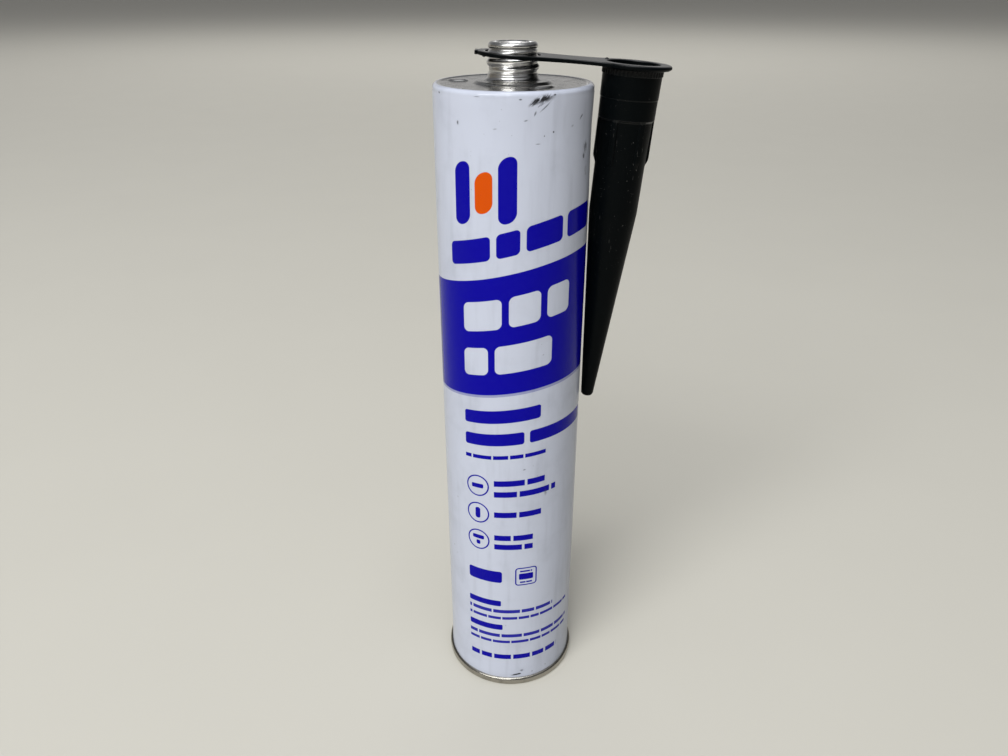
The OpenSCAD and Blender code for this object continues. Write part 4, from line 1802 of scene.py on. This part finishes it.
@dataclass
class Studio:
    """The pale floor, the soft light and the camera at the photograph's viewing angle.

    A level is how far a direction points to the front, up or to the right, from -1 to 1.

    Attributes:
        floor_half: Half the floor's width, in metres.
        floor_colour: The floor's colour.
        floor_shade: Share of that colour in the floor's darker patches.
        floor_rough: The floor's roughness.
        floor_gloss: Strength of its mirrored light.
        mottle: The floor's patches.
        far_side: The surround's colour beyond the object.
        near_side: Its colour before the object.
        right_side: Its colour on the dark right.
        overhead: Its colour above the object.
        ceiling: Its colour above the camera.
        zenith: Its colour straight up.
        near_span: Front levels between which the far side gives way to the near side.
        ceiling_span: Front levels between which the overhead gives way to the ceiling.
        above_span: Upward levels between which the sides give way to what is above.
        right_span: Rightward levels between which the dark right sets in.
        right_top: Upward levels between which it ends.
        zenith_span: Upward levels between which the zenith sets in.
        world_power: Strength of the surround.
        right_way: The direction in which the surround is dark.
        camera_place: Where the camera stands, in metres.
        camera_pitch: How far it looks down, in degrees.
        camera_yaw: How far it is turned to the left, in degrees.
        camera_clip: Nearest and farthest distance that it sees, in metres.
        lens: Its focal length, in millimetres.
        sensor: Its sensor's width, in millimetres.
        boxes: The soft lights.
    """

    floor_half: float = 30.0
    floor_colour: Colour = (0.545, 0.525, 0.465)
    floor_shade: float = 0.97
    floor_rough: float = 0.7
    floor_gloss: float = 0.2
    mottle: Noise = Noise(0.012, 3.0)
    far_side: Colour = (0.42, 0.415, 0.41)
    near_side: Colour = (0.15, 0.135, 0.11)
    right_side: Colour = (0.022, 0.022, 0.024)
    overhead: Colour = (0.12, 0.123, 0.13)
    ceiling: Colour = (0.34, 0.345, 0.36)
    zenith: Colour = (0.6, 0.61, 0.63)
    near_span: tuple[float, float] = (-0.85, -0.55)
    ceiling_span: tuple[float, float] = (0.0, 0.7)
    above_span: tuple[float, float] = (0.15, 0.45)
    right_span: tuple[float, float] = (-0.05, 0.6)
    right_top: tuple[float, float] = (0.28, 0.60)
    zenith_span: tuple[float, float] = (0.80, 0.92)
    world_power: float = 1.0
    right_way: tuple[float, float, float] = (0.966, -0.259, 0.0)
    camera_place: tuple[float, float, float] = (0.0, -0.23813, 0.24456)
    camera_pitch: float = 27.275
    camera_yaw: float = 0.611
    camera_clip: tuple[float, float] = (0.01, 60.0)
    lens: float = 27.65
    sensor: float = 36.0
    boxes: tuple[SoftBox, ...] = (
        SoftBox("window_left", (-0.80, -1.59, 1.726), (0, 0, 0.12), (1.8, 1.1), 41.0, (0.98, 0.99, 1.0),
                mirrored=False),
        SoftBox("window_glow", (-0.775, -1.54, 1.674), (0, 0, 0.12), (1.7, 1.0), 22.0, (0.98, 0.99, 1.0)),
        SoftBox("sky_top", (0, -0.35, 2.6), (0, 0, 0.2), (1.1, 0.8), 13.0, (0.96, 0.98, 1.0)),
        SoftBox("back_fill", (0, 2.6, 2.2), (0, 3.4, 0), (4.0, 1.5), 45.0, mirrored=False),
        SoftBox("far_lamp", (0.007, 2.90, 0.422), (0, 0, 0.228), (0.05, 0.02), 0.2))

    def floor(self) -> None:
        """Makes the floor: a flat square of one face, with a faintly mottled pale finish."""
        half = self.floor_half
        mesh = bpy.data.meshes.new("floor")
        corners = [(-half, -half, 0), (half, -half, 0), (half, half, 0), (-half, half, 0)]
        mesh.from_pydata(corners, [], [range(len(corners))])
        floor = bpy.data.objects.new("floor", mesh)
        bpy.context.scene.collection.objects.link(floor)
        nodes = Nodes(bpy.data.materials.new("pale_floor"))
        vector, *_ = nodes.place()
        darker = tuple(channel * self.floor_shade for channel in self.floor_colour)
        colour = nodes.blend(self.mottle.at(nodes, vector), darker, self.floor_colour)
        mesh.materials.append(nodes.close({"Base Color": colour, "Roughness": self.floor_rough,
                                           "Specular IOR Level": self.floor_gloss}))

    def world(self) -> None:
        """Makes the surround: pale beyond the object and above the camera, dim in front and on the right."""
        world = bpy.data.worlds.new("studio")
        bpy.context.scene.world = world
        nodes = Nodes(world)
        direction = nodes.add("ShaderNodeTexCoord", output="Generated")
        up = nodes.add("ShaderNodeSeparateXYZ", None, {0: direction}, "Z")
        front = nodes.add("ShaderNodeSeparateXYZ", None, {0: direction}, "Y") * -1
        right = nodes.add("ShaderNodeVectorMath", {"operation": "DOT_PRODUCT"},
                          {0: direction, 1: self.right_way}, "Value")
        level = nodes.blend(front.step(*self.near_span), self.far_side, self.near_side)
        above = nodes.blend(front.step(*self.ceiling_span), self.overhead, self.ceiling)
        round_view = nodes.blend(up.step(*self.above_span), level, above)
        shade = right.step(*self.right_span) * (1 - up.step(*self.right_top))
        below_zenith = nodes.blend(shade, round_view, self.right_side)
        colour = nodes.blend(up.step(*self.zenith_span), below_zenith, self.zenith)
        sky = nodes.add("ShaderNodeBackground", None, {"Color": colour, "Strength": self.world_power})
        nodes.add("ShaderNodeOutputWorld", None, {"Surface": sky})

    def camera(self) -> None:
        """Makes the camera where the photograph was taken from."""
        data = bpy.data.cameras.new("camera")
        data.lens, data.sensor_width, data.sensor_fit = self.lens, self.sensor, "HORIZONTAL"
        data.clip_start, data.clip_end = self.camera_clip
        camera = bpy.data.objects.new("camera", data)
        bpy.context.scene.collection.objects.link(camera)
        camera.location = self.camera_place
        camera.rotation_euler = (math.radians(90 - self.camera_pitch), 0.0, math.radians(self.camera_yaw))
        bpy.context.scene.camera = camera

    def build(self) -> None:
        """Makes floor, surround, lights and camera, and shows colours as they are."""
        self.floor()
        self.world()
        for light in self.boxes:
            light.build()
        self.camera()
        bpy.context.scene.view_settings.view_transform = "Standard"


def main() -> None:
    """Builds the cartridge, its nozzle and the studio, in order."""
    logging.basicConfig(level=logging.INFO, format="%(name)s: %(message)s")
    Cartridge().build()
    Nozzle().build()
    Studio().build()


if __name__ == "__main__":
    main()
